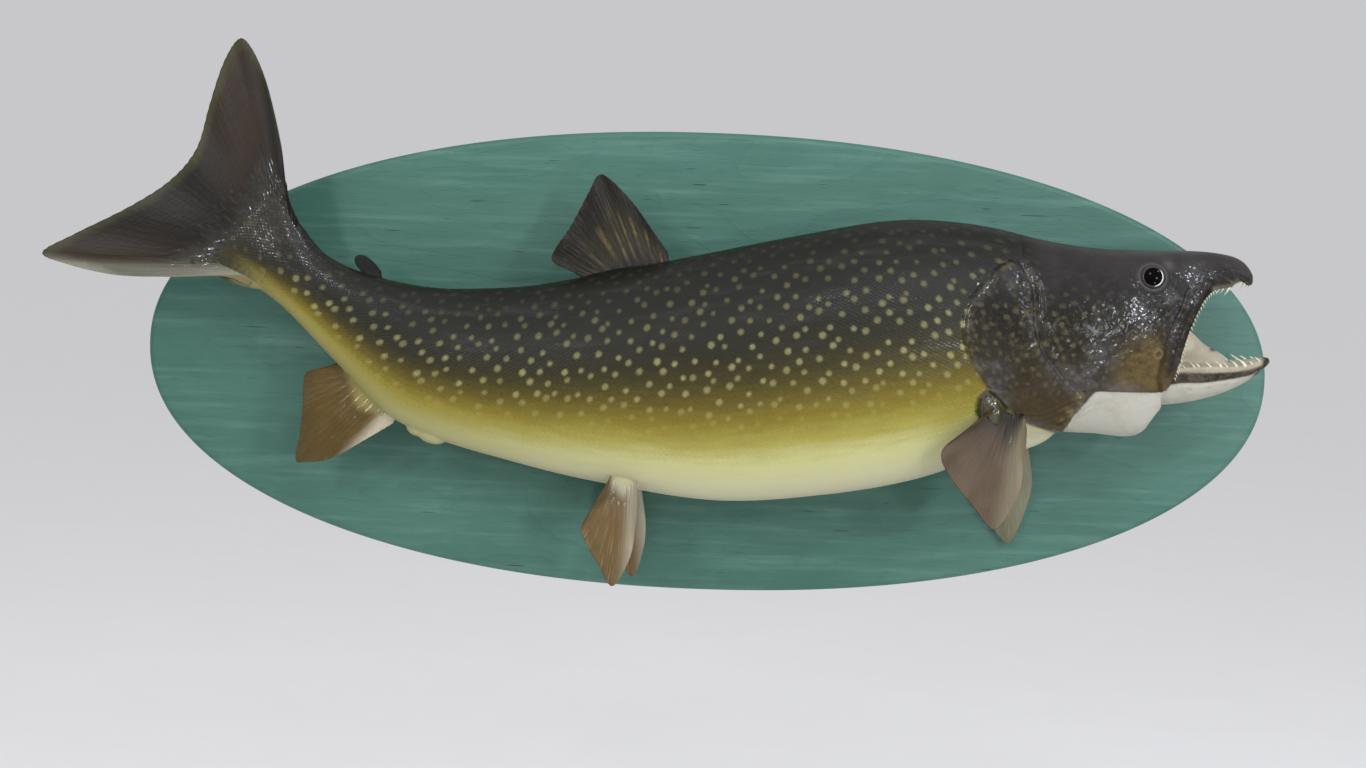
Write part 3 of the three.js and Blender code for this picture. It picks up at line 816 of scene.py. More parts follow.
GUM_RIDGE = [  # the rim of the lower jaw that carries its teeth
    (396, -19.6, 1.5, 1.3), (404, -18.2, 2.5, 1.7), (415, -17.6, 2.8, 1.9), (430, -17.6, 2.8, 1.9),
    (445, -17.6, 2.7, 1.8), (458, -17.2, 2.5, 1.7), (468, -15.8, 2.2, 1.6), (476, -13.8, 1.8, 1.4),
    (481, -12.4, 1.2, 1.1),
]
BAND_INSET, LIP_INSET, GUM_INSET = 1.8, 1.6, 3.4  # millimetres in from the flank
FAR_RIDGE_DROP = 1.8
BONE_LEAN, BONE_SIDES = 0.12, 28
POLE = 0.02  # radians from the pole of a ball to its first ring


def jaw_half(x):
    """Half width of the lower jaw."""
    table = np.array(JAW_STATIONS, float)
    return np.interp(x, table[:, 0], table[:, 4])


def bone(name, table, side, steps, inset=0.0, on_jaw=False):
    """A flattened tube on the head's flank; table rows are x, height, half width, half thickness."""
    row = smooth(table, np.linspace(0, len(table) - 1, steps))
    half = jaw_half(row[:, 0]) if on_jaw else flank(row[:, 0], row[:, 1])
    across = side * np.maximum(half - inset, 0.6)
    path = np.stack([row[:, 0], across, row[:, 1]], -1)
    ahead = unit(np.gradient(path, axis=0))
    outward = np.tile([0.0, side, BONE_LEAN], (steps, 1))
    outward = unit(outward - (outward * ahead).sum(1, keepdims=True) * ahead)
    wide = np.cross(ahead, outward)
    c, s = np.cos(turns(BONE_SIDES))[:, None], np.sin(turns(BONE_SIDES))[:, None]
    rings = path[:, None] + c * wide[:, None] * row[:, None, 2:3] + s * outward[:, None] * row[:, None, 3:4]
    return make_piece(name, *solid_of_rings(head_to_world(rings)))


def turned(a, b, degrees):
    """Two coordinates turned in their plane."""
    c, s = math.cos(math.radians(degrees)), math.sin(math.radians(degrees))
    return a * c - b * s, a * s + b * c


def lobe(name, middle, long, wide, thick, lean, turn):
    """A stretched ball: long runs up the side view, leant back by lean, and turned out by turn."""
    polar = np.linspace(POLE, math.pi - POLE, 18)[:, None]
    angle = turns(24)[None, :]
    x = np.sin(polar) * np.cos(angle) * wide
    y = np.sin(polar) * np.sin(angle) * thick
    z = np.cos(polar) * long * np.ones_like(angle)
    y, z = turned(y, z, turn)
    x, z = turned(x, z, lean)
    return make_piece(name, *solid_of_rings(np.stack([x, y, z], -1) + np.asarray(middle, float)))


def lobe_share(points, middle, long, wide, thick, lean, turn):
    """1 on the surface of a lobe and less inside it, for points of the fish."""
    x, y, z = (points - np.asarray(middle, float)).T
    x, z = turned(x, z, -lean)
    y, z = turned(y, z, -turn)
    return np.sqrt((x / wide) ** 2 + (y / thick) ** 2 + (z / long) ** 2)


WEB_OUTLINE = [(383, -34), (384, 2), (391, 3), (396, -6), (402, -15), (404, -22), (402, -30)]
WEB_OUT, WEB_THICK = 32.0, 2.2
LOBES = {  # middle, long, wide, thick, lean, turn
    "pectoral_root_near": ((240, -130.5, -24), 15, 8.5, 8, 22, 0),
    "pectoral_root_far": ((244, -36, -20), 15, 11, 8, 20, 0),
    "pelvic_root_near": ((-68, -100, -97), 16, 13, 5, 0, 12),
    "pelvic_root_far": ((-66, -57, -95), 16, 12, 5, 0, -12),
    "anal_root": ((-291, -81, -26), 8, 31, 5.5, -44, 0),
    "dorsal_root": ((-84, -79.5, 76), 6, 40, 5, 13, 0),
    "adipose_root": ((-291, -83.5, 63), 6, 8, 3.5, 0, 0),
    "tail_root": ((-404, -100, 62), 5, 24, 4, -16, 0),
    "vent_lip": ((-252, -80, -62), 6.5, 8.5, 8, -30, 0),
    "vent_swelling": ((-238, -80, -67), 8, 14, 10, -18, 0),
    "isthmus": ((262, -84, -52), 13, 42, 17, 14, 0),
}


WEB_SPAN = (WEB_OUT - WEB_THICK / 2, WEB_OUT + WEB_THICK / 2)
for side, word in ((-1, "near"), (1, "far")):
    gum_ridge = np.array(GUM_RIDGE) - [0, FAR_RIDGE_DROP * (side > 0), 0, 0]
    web = side_prism(smooth_line(WEB_OUTLINE), *sorted(side * out for out in WEB_SPAN))
    forms += [
        bone(f"maxilla_{word}", MAXILLA, side, 60),
        bone(f"tooth_band_{word}", TOOTH_BAND, side, 50, BAND_INSET),
        bone(f"upper_lip_{word}", UPPER_LIP, side, 40, LIP_INSET),
        bone(f"gum_ridge_{word}", gum_ridge, side, 50, GUM_INSET, True),
        make_piece(f"web_{word}", *web),
    ]
forms += [lobe(name, *facts) for name, facts in LOBES.items()]
for form in forms:
    tidy_normals(form)
print(len(forms), "solids go into the skin")

# %% [markdown]
# ## One skin
# The solids are joined and remeshed at a little over a millimetre, then relaxed. After that the skin is
# carved by moving its points, as a sculptor would: the socket of the eye, the nostrils, the wrinkles of
# the lips and the furrows of the gill cover. Last, flat stretches are thinned to save faces.

# %% Joining and remeshing
VOXEL = 1.3
RELAX_ROUNDS, RELAX_FACTOR = 3, 0.5


def joined(name, pieces):
    """The pieces as one object, which takes the name."""
    for piece in pieces:
        piece.select_set(True)
    bpy.context.view_layer.objects.active = pieces[0]
    bpy.ops.object.join()
    whole = bpy.context.view_layer.objects.active
    whole.name = whole.data.name = name
    return whole


def remesh(piece, voxel, relax):
    """One closed surface round all the solids, relaxed a few times."""
    modifier = piece.modifiers.new("one_skin", "REMESH")
    modifier.mode, modifier.voxel_size, modifier.use_smooth_shade = "VOXEL", voxel * MM, True
    easing = piece.modifiers.new("relax", "SMOOTH")
    easing.factor, easing.iterations = RELAX_FACTOR, relax
    return applied(piece)


bpy.ops.object.select_all(action="DESELECT")
skin = remesh(joined("skin", forms), VOXEL, RELAX_ROUNDS)
print("skin after the remesh:", len(skin.data.vertices), "points")

# %% Carving the head
LIP_LOWER = [(484, -19), (477, -21), (465, -24), (450, -26), (432, -28), (419, -29), (403, -29), (390, -31)]
LIP_UPPER = [(484, -13), (475, -16), (464, -18.5), (450, -19.8), (432, -20.2), (418, -20.2), (404, -19.8)]
GILL_RAYS = [(322, -43), (303, -58), (284, -67), (262, -66)]
NOSTRILS = [(430.5, 72.5, 2.4), (436.0, 70.0, 2.0)]
CHEEK_PORE = (378.5, -3.0, 3.4)
JAW_PORES = [(472, -22.5), (459, -28), (444, -32), (428, -34.5), (411, -36)]
SOCKET_FLOOR, SOCKET_RADIUS = -4.0, 10.6
LID_AT, LID_WIDE, LID_RISE = 11.6, 1.8, 1.5
MAXILLA_REAR = [
    (404, 54), (401, 48), (397.5, 37), (391.5, 24), (386, 8), (383.5, -4), (381.5, -16), (380.5, -26),
    (383, -35),
]
MAXILLA_MID = [(411, 52), (404, 38), (398, 22), (393, 6), (390.5, -8), (388, -20)]
MAXILLA_FRONT = [(421, 52), (414, 40), (406, 23), (401, 9), (398.5, -4), (397, -16), (392, -28)]
CREASES = ((MAXILLA_REAR, 1.4, 1.4), (MAXILLA_MID, 0.8, 1.1), (MAXILLA_FRONT, 1.2, 1.0))  # depth, width
LIP_FURROWS = ((LIP_LOWER, 0.8, 1.3), (LIP_UPPER, 0.7, 1.1))
CRINKLE_SIZE, CRINKLE_DEPTH = 4.6, 0.95
CRINKLE_PATCHES = [  # x, height, half length, half height, strength
    (372, 22, 26, 26, 0.7), (410, 62, 22, 14, 0.8), (325, -14, 24, 24, 0.6),
]
SUBOPERCLE_LINE = [(292, -24), (272, -33), (250, -37), (234, -35)]
RAY_SPACING = 4.6  # between the rays under the gill cover
CARVE_BACK = 205.0  # the carving reaches back to this x


def points_of(piece):
    """The piece's points in millimetres."""
    points = np.empty(len(piece.data.vertices) * 3)
    piece.data.vertices.foreach_get("co", points)
    return points.reshape(-1, 3) / MM


def normals_of(piece):
    normals = np.empty(len(piece.data.vertices) * 3)
    piece.data.vertex_normals.foreach_get("vector", normals)
    return normals.reshape(-1, 3)


def eye_axis(side):
    """The middle of an eye and the way it looks, in the head's frame."""
    middle = np.array([EYE["x"], side * EYE["out"], EYE["height"]])
    return middle, np.array([0, side * math.cos(EYE["tilt"]), math.sin(EYE["tilt"])])


def eye_frame(head_points, side):
    """Distance from the eye's axis and height along it, for points of the head's frame."""
    middle, axis = eye_axis(side)
    offset = head_points - middle
    along = offset @ axis
    return np.linalg.norm(offset - along[:, None] * axis, axis=1), along, axis


def lid_distance(head_points):
    """Distance from the axis of the nearer eye, on that eye's own side of the head."""
    found = np.full(len(head_points), 99.0)
    for side in (-1, 1):
        radius, along, _ = eye_frame(head_points, side)
        found = np.where(along > -14, np.minimum(found, radius), found)
    return found


def outer_share(head_points, stations):
    """1 on the plain form's surface, less inside it."""
    table = np.array(stations, float)
    x, across, height = head_points.T
    level, up, down, half, square = (np.interp(x, table[:, 0], table[:, k]) for k in range(1, 6))
    rise = np.abs(height - level) / np.where(height > level, up, down)
    return (rise ** square + (np.abs(across) / half) ** square) ** (1 / square)


def from_spot(view, x, height):
    """Distance of places in side view from one spot."""
    return np.hypot(view[:, 0] - x, view[:, 1] - height)


def crinkle_height(head):
    """Sharp shallow wrinkles of dried, lacquered skin, over the cheek and round the gill cover."""
    x, _, height = head.T
    cover_edge, _ = to_line(head[:, [0, 2]], GILL_EDGE)
    weight = 0.45 * step(x, 226, 260) + 0.55 * bell(cover_edge, 7.0)
    for middle_x, middle_height, long, tall, strength in CRINKLE_PATCHES:
        weight += strength * bell(np.hypot((x - middle_x) / long, (height - middle_height) / tall), 1.0)
    weight *= step(height, 84, 66) * step(height, -40, -30) * (x > CARVE_BACK)
    weight *= step(lid_distance(head), 13, 15)
    for name, strength in (("pectoral_root_near", 1.6), ("pectoral_root_far", 1.0)):
        weight += strength * step(1.3 - lobe_share(head_to_world(head), *LOBES[name]), 0, 0.3)
    found = np.zeros(len(head))
    for i in np.flatnonzero(weight > 0.02):
        where = Vector(head[i] / CRINKLE_SIZE)
        found[i] = turbulence(where, 3, True, noise_basis="PERLIN_ORIGINAL", amplitude_scale=0.6) - 0.5
    return found * weight * CRINKLE_DEPTH


def gill_cover_marks(head, view, outer):
    """A ridge ahead of the cheek's groove, the seam low on the gill cover, and the rays under it."""
    from_groove, _ = to_line(view, GROOVE_LINE)
    ahead = head[:, 0] - np.interp(head[:, 2], GROOVE_LINE[::-1, 1], GROOVE_LINE[::-1, 0])
    move = outer * (0.9 * bell(from_groove - 5.0, 2.6) * (ahead > 0) - 0.7 * bell(from_groove, 1.4))
    from_sub, share = to_line(view, smooth_line(SUBOPERCLE_LINE, 20))
    move -= outer * 0.7 * bell(from_sub, 1.5) * step(share, 0, 0.2)
    from_rays, share = to_line(view, smooth_line(GILL_RAYS, 24))
    rays = step(14 - from_rays, 0, 4) * step(share, 0.0, 0.15) * step(1 - share, 0.0, 0.2)
    return move + outer * 0.55 * rays * np.cos(2 * math.pi * from_rays / RAY_SPACING)


def snout_and_cheek_marks(view, outer):
    """Nostrils, the pore on the cheek, and the creases beside the maxilla."""
    move = np.zeros(len(view))
    for x, height, radius in NOSTRILS:
        from_pit = from_spot(view, x, height)
        move += outer * (0.15 * bell(from_pit - radius - 1.2, 1.0) - 1.1 * bell(from_pit, radius * 0.75))
    x, height, radius = CHEEK_PORE
    from_pore = from_spot(view, x, height)
    move += outer * (1.3 * bell(from_pore - radius, 1.0) - 1.6 * bell(from_pore, radius * 0.6))
    for line, depth, wide in CREASES:
        from_crease, share = to_line(view, smooth_line(line))
        move -= outer * depth * bell(from_crease, wide) * step(share, 0.0, 0.06)
    return move


def jaw_marks(view, jaw_outer):
    """Furrows along the lip, and the pores under it."""
    move = np.zeros(len(view))
    for line, depth, wide in LIP_FURROWS:
        from_lip, _ = to_line(view, smooth_line(line))
        move -= jaw_outer * depth * bell(from_lip, wide)
    for x, height in JAW_PORES:
        move -= jaw_outer * 1.1 * bell(from_spot(view, x, height), 1.3)
    return move


def head_shift(head, move, normals):
    """Moves points of the head's frame along their normals, given in the fish's frame."""
    origin = world_to_head(np.zeros(3))
    return head + move[:, None] * (world_to_head(normals) - origin)


def set_eyes_in(head):
    """Raises the lids round each eye and lowers the floor of its socket."""
    for side in (-1, 1):
        radius, along, axis = eye_frame(head, side)
        close = (np.abs(along) < 12) & (radius < 22)
        lid = LID_RISE * bell(radius - LID_AT, LID_WIDE) - 0.35 * bell(radius - 16.0, 2.0)
        floor = (SOCKET_FLOOR - along) * step(SOCKET_RADIUS - radius, 0, 1.6)
        head[close] += ((lid + floor)[close, None]) * axis


def carve(piece):
    points, normals = points_of(piece), normals_of(piece)
    chosen = np.flatnonzero(points[:, 0] > CARVE_BACK)
    head = world_to_head(points[chosen])
    view = head[:, [0, 2]]
    outer = step(outer_share(head, HEAD_STATIONS), 0.86, 0.93) * step(np.abs(head[:, 1]), 3, 8)
    jaw_outer = step(outer_share(head, JAW_STATIONS), 0.9, 0.97) * (head[:, 0] > 392) * (head[:, 2] < -4)
    move = gill_cover_marks(head, view, outer) + snout_and_cheek_marks(view, outer)
    move += crinkle_height(head) * np.maximum(outer, head[:, 0] < 262)
    moved = head_shift(head, move + jaw_marks(view, jaw_outer), normals[chosen])
    set_eyes_in(moved)
    points[chosen] = head_to_world(moved)
    piece.data.vertices.foreach_set("co", (points * MM).ravel())
    piece.data.update()


carve(skin)
print("carved the head:", len(GILL_EDGE) + len(GROOVE_LINE), "guide points")

# %% Thinning the flat stretches
SKIN_FACES = 190000


def thinned(piece, faces):
    modifier = piece.modifiers.new("thin", "DECIMATE")
    modifier.ratio = faces / (2 * len(piece.data.polygons))
    modifier.use_collapse_triangulate = True
    return applied(piece)


thinned(skin, SKIN_FACES)
skin.data.shade_smooth()
print("skin has", len(skin.data.polygons), "triangles")

# %% [markdown]
# ## Markings
# The painter sprayed the fish in bands: dark back, olive flank, a golden band, cream belly. Pale spots
# lie over the flank, and the head has its own dark and pale areas; its crown and wet patches also carry a
# painted sheen, and its creases and the depth of its mouth painted shade. Every area is a soft mask stored
# on the skin, worked out from the same lines that carved it.

# %% Masks for the paint
THROAT_REAR = [(327, -36), (310, -62), (302, -84)]
CHEEK_BROWN = [(345, -40), (343, -16), (350, 4), (367, 12), (382, 4), (384, -16), (392, -24), (388, -40)]
MAXILLA_PATH = [row[:2] for row in MAXILLA]
LACQUER = [  # x, height, half length and half height of each wet patch
    (414, 65, 14, 8), (402, 50, 9, 12), (386, 46, 10, 7), (362, 29, 13, 17), (392, 14, 7, 22),
    (386, 72, 5, 5), (332, 2, 18, 24), (318, -22, 24, 12), (346, -34, 22, 7), (238, -30, 16, 26),
    (250, 62, 10, 14),
]


def side_of(view, line):
    """1 ahead of a line that runs down the head, 0 behind it."""
    line = np.asarray(line, float)
    edge = np.interp(-view[:, 1], -line[:, 1], line[:, 0])
    return step(view[:, 0] - edge, -5.0, 6.0)


def lacquer_mask(view, cover, in_head):
    """Where the lacquer lies thick and wet, and where the paint carries a painted sheen: cheek, side of the
    snout and rims of the gill cover.
    """
    x, height = view.T
    patches = [bell(np.hypot((x - cx) / wide, (height - cz) / tall), 1.0) for cx, cz, wide, tall in LACQUER]
    patches.append(bell(to_line(view, GROOVE_LINE)[0], 7.0) * 0.8)
    patches.append(bell(cover, 6.0) * 0.8)
    return np.max(patches, axis=0) * (in_head > 0.85) * step(height, 84, 74)


def paint_masks(points):
    """Each area of the head's paint, from 0 to 1, for points of the fish."""
    head = world_to_head(points)
    view = head[:, [0, 2]]
    x, height = view.T
    in_head = outer_share(head, HEAD_STATIONS)
    in_jaw = outer_share(head, JAW_STATIONS)
    cover = inside(view, GILL_EDGE)
    past_cheek = step(x, 388, 392)
    low = step(-height, 4, 7)
    jaw = past_cheek * low * (np.abs(head[:, 1]) < jaw_half(x) + 2.5)
    mouth = step(x, 336, 341) * step(height, JAW_LINE, JAW_LINE + 2) * step(0.86 - in_head, 0, 0.05)
    above_lip = step(height - np.interp(x, *np.array(LIP_UPPER[::-1]).T), -1.3, 1.5)
    lining = mouth * (1 - jaw) + jaw * np.maximum(step(0.92 - in_jaw, 0, 0.06), above_lip)
    lining *= 1 - jaw * step(x, 474, 480)
    gum = jaw * above_lip * step(in_jaw, 0.9, 0.95) * (1 - step(x, 472, 478))
    snout_gum = bell(to_line(view, np.array([row[:2] for row in UPPER_LIP]) - [0, 1.5])[0], 2.2) * (x < 447)
    from_pore = from_spot(view, *CHEEK_PORE[:2]) - CHEEK_PORE[2]
    below_lip = step(np.interp(x, *np.array(LIP_LOWER[::-1]).T) - height, -2.5, 2.0)
    throat = step(JAW_LINE - height, -0.4, 0.8) * side_of(view, THROAT_REAR) * (1 - past_cheek)
    from_edge, _ = to_line(view, THROAT_REAR)
    gill_band = step(16 - from_edge, 0, 10) * step(JAW_LINE - height, -1, 3)
    gill_band *= (1 - side_of(view, THROAT_REAR)) * (1 - mouth)
    from_bone, _ = to_line(view, smooth_line(MAXILLA_PATH))
    brown = step(inside(view, smooth_line(CHEEK_BROWN + CHEEK_BROWN[:1], 40)), -13, 12)
    tip = jaw * step(x, 465, 474)
    # where the creases beside the maxilla get painted shade
    creases = np.max([bell(to_line(view, smooth_line(row[0]))[0], 1.7) for row in CREASES], axis=0)
    lids = lid_distance(head)
    web = step(np.abs(head[:, 1]), 28, 30) * step(x, 381, 383) * step(406 - x, 0, 2)
    web *= step(height, -13, -10) * step(6 - height, 0, 3) * (in_head < 0.93)
    return {
        "head_skin": np.maximum(step(cover, -1.0, 2.0), step(x, 250, 290) * step(height, -62, -54)),
        "crease": creases * (in_head > 0.9),
        "mouth_lining": np.clip(lining, 0, 1),
        "gum": np.maximum(gum, 0.5 * snout_gum * (height > 40)),
        "pore": bell(from_pore, 1.2) * (in_head > 0.9),
        "lacquer": lacquer_mask(view, cover, in_head),
        "white_skin": np.maximum(throat, jaw * below_lip * (1 - lining)),
        "jaw_lip": np.maximum(jaw * (1 - below_lip) * (1 - above_lip) * (1 - lining), tip),
        "gill_band": gill_band * step(cover, -3, 1),
        "brown_cheek": brown * step(height, -40, -34),
        "jaw_bone": step(5.5 - from_bone, 0, 3.5) * (in_head > 0.98),
        "eye_ring": step(15.0 - lids, 0, 3.0) * (x > 340) * (x < 400) * (height > 38),
        "gill_rim": bell(cover - 1.5, 3.2) * (x < 275),
        # painted shade: deeper in the mouth and low inside the jaw
        "mouth_depth": np.maximum(step(400 - x, 0, 50), 0.7 * step(-8 - height, 0, 6) * (in_jaw < 0.9)),
        "web": web,
    }


PECTORAL_REACH, CREAM_REACH = 1.8, 1.35  # how far bare flesh goes round a fin's root, in sizes of its lobe


def root_masks(points):
    """Dark flesh at the pectoral fins, cream flesh at the pelvic and anal fins."""
    nearest = {}
    for name, facts in LOBES.items():
        colour = "dark_root" if "pectoral" in name else "cream_root"
        if any(word in name for word in ("pectoral", "pelvic", "anal")):
            reach = PECTORAL_REACH if "pectoral" in name else CREAM_REACH
            share = step(reach - lobe_share(points, *facts), 0, 0.35)
            nearest[colour] = np.maximum(nearest.get(colour, 0), share)
    return nearest


def store(piece, name, values):
    """Keeps a number or a vector for each point of the piece."""
    values = np.asarray(values, np.float32)
    kind = "FLOAT_VECTOR" if values.ndim == 2 else "FLOAT"
    layer = piece.data.attributes.new(name, kind, "POINT")
    layer.data.foreach_set("vector" if values.ndim == 2 else "value", values.ravel())


skin_points = points_of(skin)
skin_place = places_on_fish(skin_points)
store(skin, "lie", lie_of(*skin_place))
skin_masks = {name: np.where(skin_points[:, 0] > HEAD_BACK, mask, 0)
              for name, mask in paint_masks(skin_points).items()}
skin_masks |= root_masks(skin_points)
for mask_name, mask in skin_masks.items():
    store(skin, mask_name, mask)
print("skin carries", len(skin.data.attributes), "attributes")

# %% Fish paint
FLANK_BANDS = [  # share of the way up from the belly, screen colour
    (0.00, (172, 168, 143)), (0.08, (178, 176, 137)), (0.16, (174, 172, 118)), (0.24, (144, 136, 64)),
    (0.32, (116, 103, 30)), (0.41, (85, 73, 18)), (0.50, (54, 48, 14)), (0.58, (35, 32, 12)),
    (0.67, (22, 21, 9)), (0.80, (16, 16, 8)), (1.00, (18, 18, 12)),
]
SPOT_STRENGTH = [
    (0.0, 0.0), (0.24, 0.0), (0.34, 0.28), (0.44, 0.62), (0.60, 0.60), (0.72, 0.36), (0.84, 0.2),
    (0.95, 0.05),
]
SPOT_SPACING, SPOT_SIZE = 0.0136, 0.21  # metres, and the radius as a share of the spacing
SPOT_TURN = math.radians(38)  # the grid of spots runs slantwise
SPOT_COLOUR = paint(152, 146, 96)
# The grey at the top of this ramp, on the crown, is a painted sheen.
HEAD_BANDS_AND_SHEEN = [  # share of the way up, screen colour
    (0.0, (70, 56, 32)), (0.3, (52, 43, 27)), (0.5, (36, 31, 21)), (0.7, (24, 22, 18)),
    (0.84, (34, 31, 30)), (1.0, (50, 47, 46)),
]
HEAD_SPOT_STRENGTH = [(0.2, 0.0), (0.34, 0.6), (0.66, 0.7), (0.78, 0.3), (0.88, 0.0)]
HEAD_SPOT_SPACING, HEAD_SPOT_SIZE = 0.0098, 0.24
SPECULAR, HEAD_SPECULAR = 0.2, 0.09
FISH_LENGTH = float(GRID_ALONG[-1]) * MM


def spots(look, where, spacing, size):
    """Pale round spots of slightly different sizes, one in each cell of a loose grid."""
    settings = {"voronoi_dimensions": "2D", "feature": "F1"}
    where = look.node("ShaderNodeMapping", Vector=where, Rotation=(0.0, 0.0, SPOT_TURN))
    cell = look.node("ShaderNodeTexVoronoi", settings, Vector=where, Scale=1 / spacing, Randomness=0.6)
    shade = Value(look, cell.socket.node.outputs["Color"])
    red, green, _ = look.split(shade)
    ragged = look.noise(where, 900.0, 2.0) * 0.07
    radius = red * 0.07 + (size - 0.035)
    mask = look.step(radius - cell + 0.11 - ragged, 0.0, 0.22)
    return mask * (green * 0.4 + 0.6)


def flank_colour(look):
    """The sprayed bands and spots, shared by the skin and the scales, and how high on the flank."""
    lie = look.attribute("lie", "Vector")
    along, girth, height = look.split(lie)
    cloud = look.noise(lie, 26.0, 3.0) - 0.5
    fine = look.noise(lie, 210.0, 2.0) - 0.5
    mottle = look.noise(lie, 75.0, 4.0, 0.65)
    tail_part = look.step(along, 0.44, 0.10)
    root_dark = look.step(along + cloud * 0.05, 0.12, 0.045)
    level = (height + cloud * 0.13 + fine * 0.06 + tail_part * 0.2) * 0.5 + 0.5
    bands = look.coats(
        look.ramp(level, painted(FLANK_BANDS)),
        (tail_part * look.step(level, 0.34, 0.16) * 0.78, (118, 110, 50)),
        (look.step(mottle, 0.42, 0.75) * look.step(level, 0.25, 0.6) * 0.3, (14, 13, 11)),
        (root_dark * look.step(level, 0.2, 0.46) * 0.95, (22, 20, 15)),
        (root_dark * look.step(level, 0.44, 0.2) * 0.8, (92, 86, 48)),
        (root_dark * look.step(level, 0.24, 0.08) * 0.5, (126, 120, 92)),
        (look.step(along + cloud * 0.04, 0.075, 0.035) * 0.9, (34, 32, 21)),
    )
    marks = spots(look, lie, SPOT_SPACING, SPOT_SIZE) * look.ramp(level, SPOT_STRENGTH)
    return look.mix(marks * (1.0 - root_dark * 0.85), bands, SPOT_COLOUR), level


def head_colour(look, mask, level, cloud, fine):
    """Near-black head, greyed at the crown by a painted sheen, and olive cheek with pale spots; bones and
    pores picked out, painted shade in the creases and a painted sheen on the wet patches.
    """
    olive = look.step(fine, 0.5, 0.68) * look.step(level, 0.82, 0.6)
    marks = spots(look, look.attribute("lie", "Vector"), HEAD_SPOT_SPACING, HEAD_SPOT_SIZE)
    patchy = look.step(fine * 0.6 + cloud * 0.7, 0.42, 0.8)
    return look.coats(
        look.ramp(level, painted(HEAD_BANDS_AND_SHEEN)),
        (look.step(cloud, 0.4, 0.7) * 0.4, (14, 12, 10)),
        (olive * 0.35, (78, 68, 40)),
        (marks * look.ramp(level, HEAD_SPOT_STRENGTH) * 0.42, (116, 109, 80)),
        (mask["brown_cheek"] * (patchy * 0.8 + 0.15), (88, 73, 40)),
        # painted sheen: the wet patches are painted a paler bluish grey
        (mask["lacquer"] * 0.4, (48, 47, 52)),
        (mask["jaw_bone"] * 0.6, (28, 22, 18)),
        (mask["jaw_bone"] * look.step(level, 0.40, 0.28), (84, 68, 44)),
        # painted shade in the creases beside the maxilla
        (mask["crease"] * 0.55, (12, 10, 8)),
        (mask["pore"] * 0.6, (110, 98, 70)),
        (mask["eye_ring"] * 0.7, (70, 66, 66)),
        (mask["gill_rim"] * look.step(fine, 0.42, 0.62) * 0.5, (88, 76, 50)),
    )


def skin_colour(look, mask, where):
    """The flank's paint, and over it the head, the bare flesh, the throat and the mouth."""
    flank, level = flank_colour(look)
    cloud = look.noise(where, 42.0, 4.0, 0.6)
    fine = look.noise(where, 170.0, 4.0, 0.65)
    streak = look.noise(where, 150.0, 3.0)
    lining = look.blend(look.step(cloud, 0.35, 0.7), (168, 160, 142), (138, 128, 106))
    colour = look.coats(
        flank,
        (mask["head_skin"], head_colour(look, mask, level, cloud, fine)),
        (mask["dark_root"] * 0.9, (30, 25, 19)),
        (mask["cream_root"] * 0.6, (172, 164, 118)),
        (mask["gill_band"] * 0.85, look.blend(look.step(streak, 0.4, 0.65), (54, 44, 26), (98, 86, 50))),
        (look.step(mask["white_skin"] + (streak - 0.5) * 0.5, 0.3, 0.72),
         look.blend(look.step(cloud, 0.42, 0.72) * 0.5, (165, 162, 151), (140, 138, 119))),
        (mask["jaw_lip"], look.blend(look.step(fine, 0.42, 0.66), (70, 62, 52), (34, 30, 26))),
        # the lining is darker deep in the mouth: painted shade
        (mask["mouth_lining"], look.coats(lining, (mask["mouth_depth"], (74, 60, 48)))),
        (mask["gum"] * 0.6, (146, 138, 120)),
        (mask["web"], (80, 64, 42)),
    )
    return colour, level


def skin_finish():
    """Paint under lacquer, which lies thick and wrinkled on the head and thin elsewhere."""
    look = Finish("lacquered_fish_skin")
    where = look.place()
    mask = {name: look.attribute(name) for name in skin_masks}
    colour, level = skin_colour(look, mask, where)
    crinkle = look.noise(where, 330.0, 5.0, 0.65)
    fold = look.noise(where, 130.0, 4.0, 0.6, 1.5)
    wet = look.maths("MAXIMUM", mask["head_skin"], mask["mouth_lining"]) * look.step(level, 0.99, 0.86)
    lumps = look.bump(fold, wet * 0.7 + 0.06, 0.0012)
    bumps = look.bump(crinkle, wet * 0.9 + 0.15, 0.0005, lumps)
    pooled = look.step(look.noise(where, 55.0, 3.0, 0.6), 0.44, 0.58) * 0.8 + 0.2
    thick = (mask["lacquer"] + wet * 0.1) * pooled + mask["mouth_lining"] * 0.5 + mask["dark_root"] * 0.8
    return look.finish(
        Base_Color=colour, Roughness=(crinkle * 0.2 + 0.34) + mask["white_skin"] * 0.1, Normal=bumps,
        Specular_IOR_Level=HEAD_SPECULAR, Coat_Weight=thick.at_most(1.0), Coat_Roughness=0.13)


skin.data.materials.clear()
skin.data.materials.append(skin_finish())
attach(skin, BODY)
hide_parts("tail_stock", "trunk", "head", "throat", "lower_jaw", "tongue", "gill_cover_right",
            "gill_cover_left", "maxilla_right", "maxilla_left")
print("skin painted")

# %% [markdown]
# ## The plaque
# The plaque is one board of stained plywood: a slightly squared oval with a small round-over at the
# front. Stain sinks unevenly into rotary-cut veneer, so the grain shows as wavy contour lines,
# with darker pores and a few short cracks.

# %% Plaque
BOARD_LOW_CORNER, BOARD_HIGH_CORNER = (np.array(corner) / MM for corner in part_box("board"))
BOARD_HALF = (BOARD_HIGH_CORNER - BOARD_LOW_CORNER)[[0, 2]] / 2
BOARD_THICK = float(BOARD_HIGH_CORNER[1] - BOARD_LOW_CORNER[1])
BOARD_OVAL = 2.13  # 2 is an ellipse, more is squarer
ROUND_OVER, BACK_EASE = 5.0, 0.8


def plaque_ring(inset, y, sides=360):
    angle = turns(sides)
    x = blunt(np.cos(angle), 2 / BOARD_OVAL) * (BOARD_HALF[0] - inset)
    z = blunt(np.sin(angle), 2 / BOARD_OVAL) * (BOARD_HALF[1] - inset)
    return np.stack([x, np.full(sides, y), z], -1)


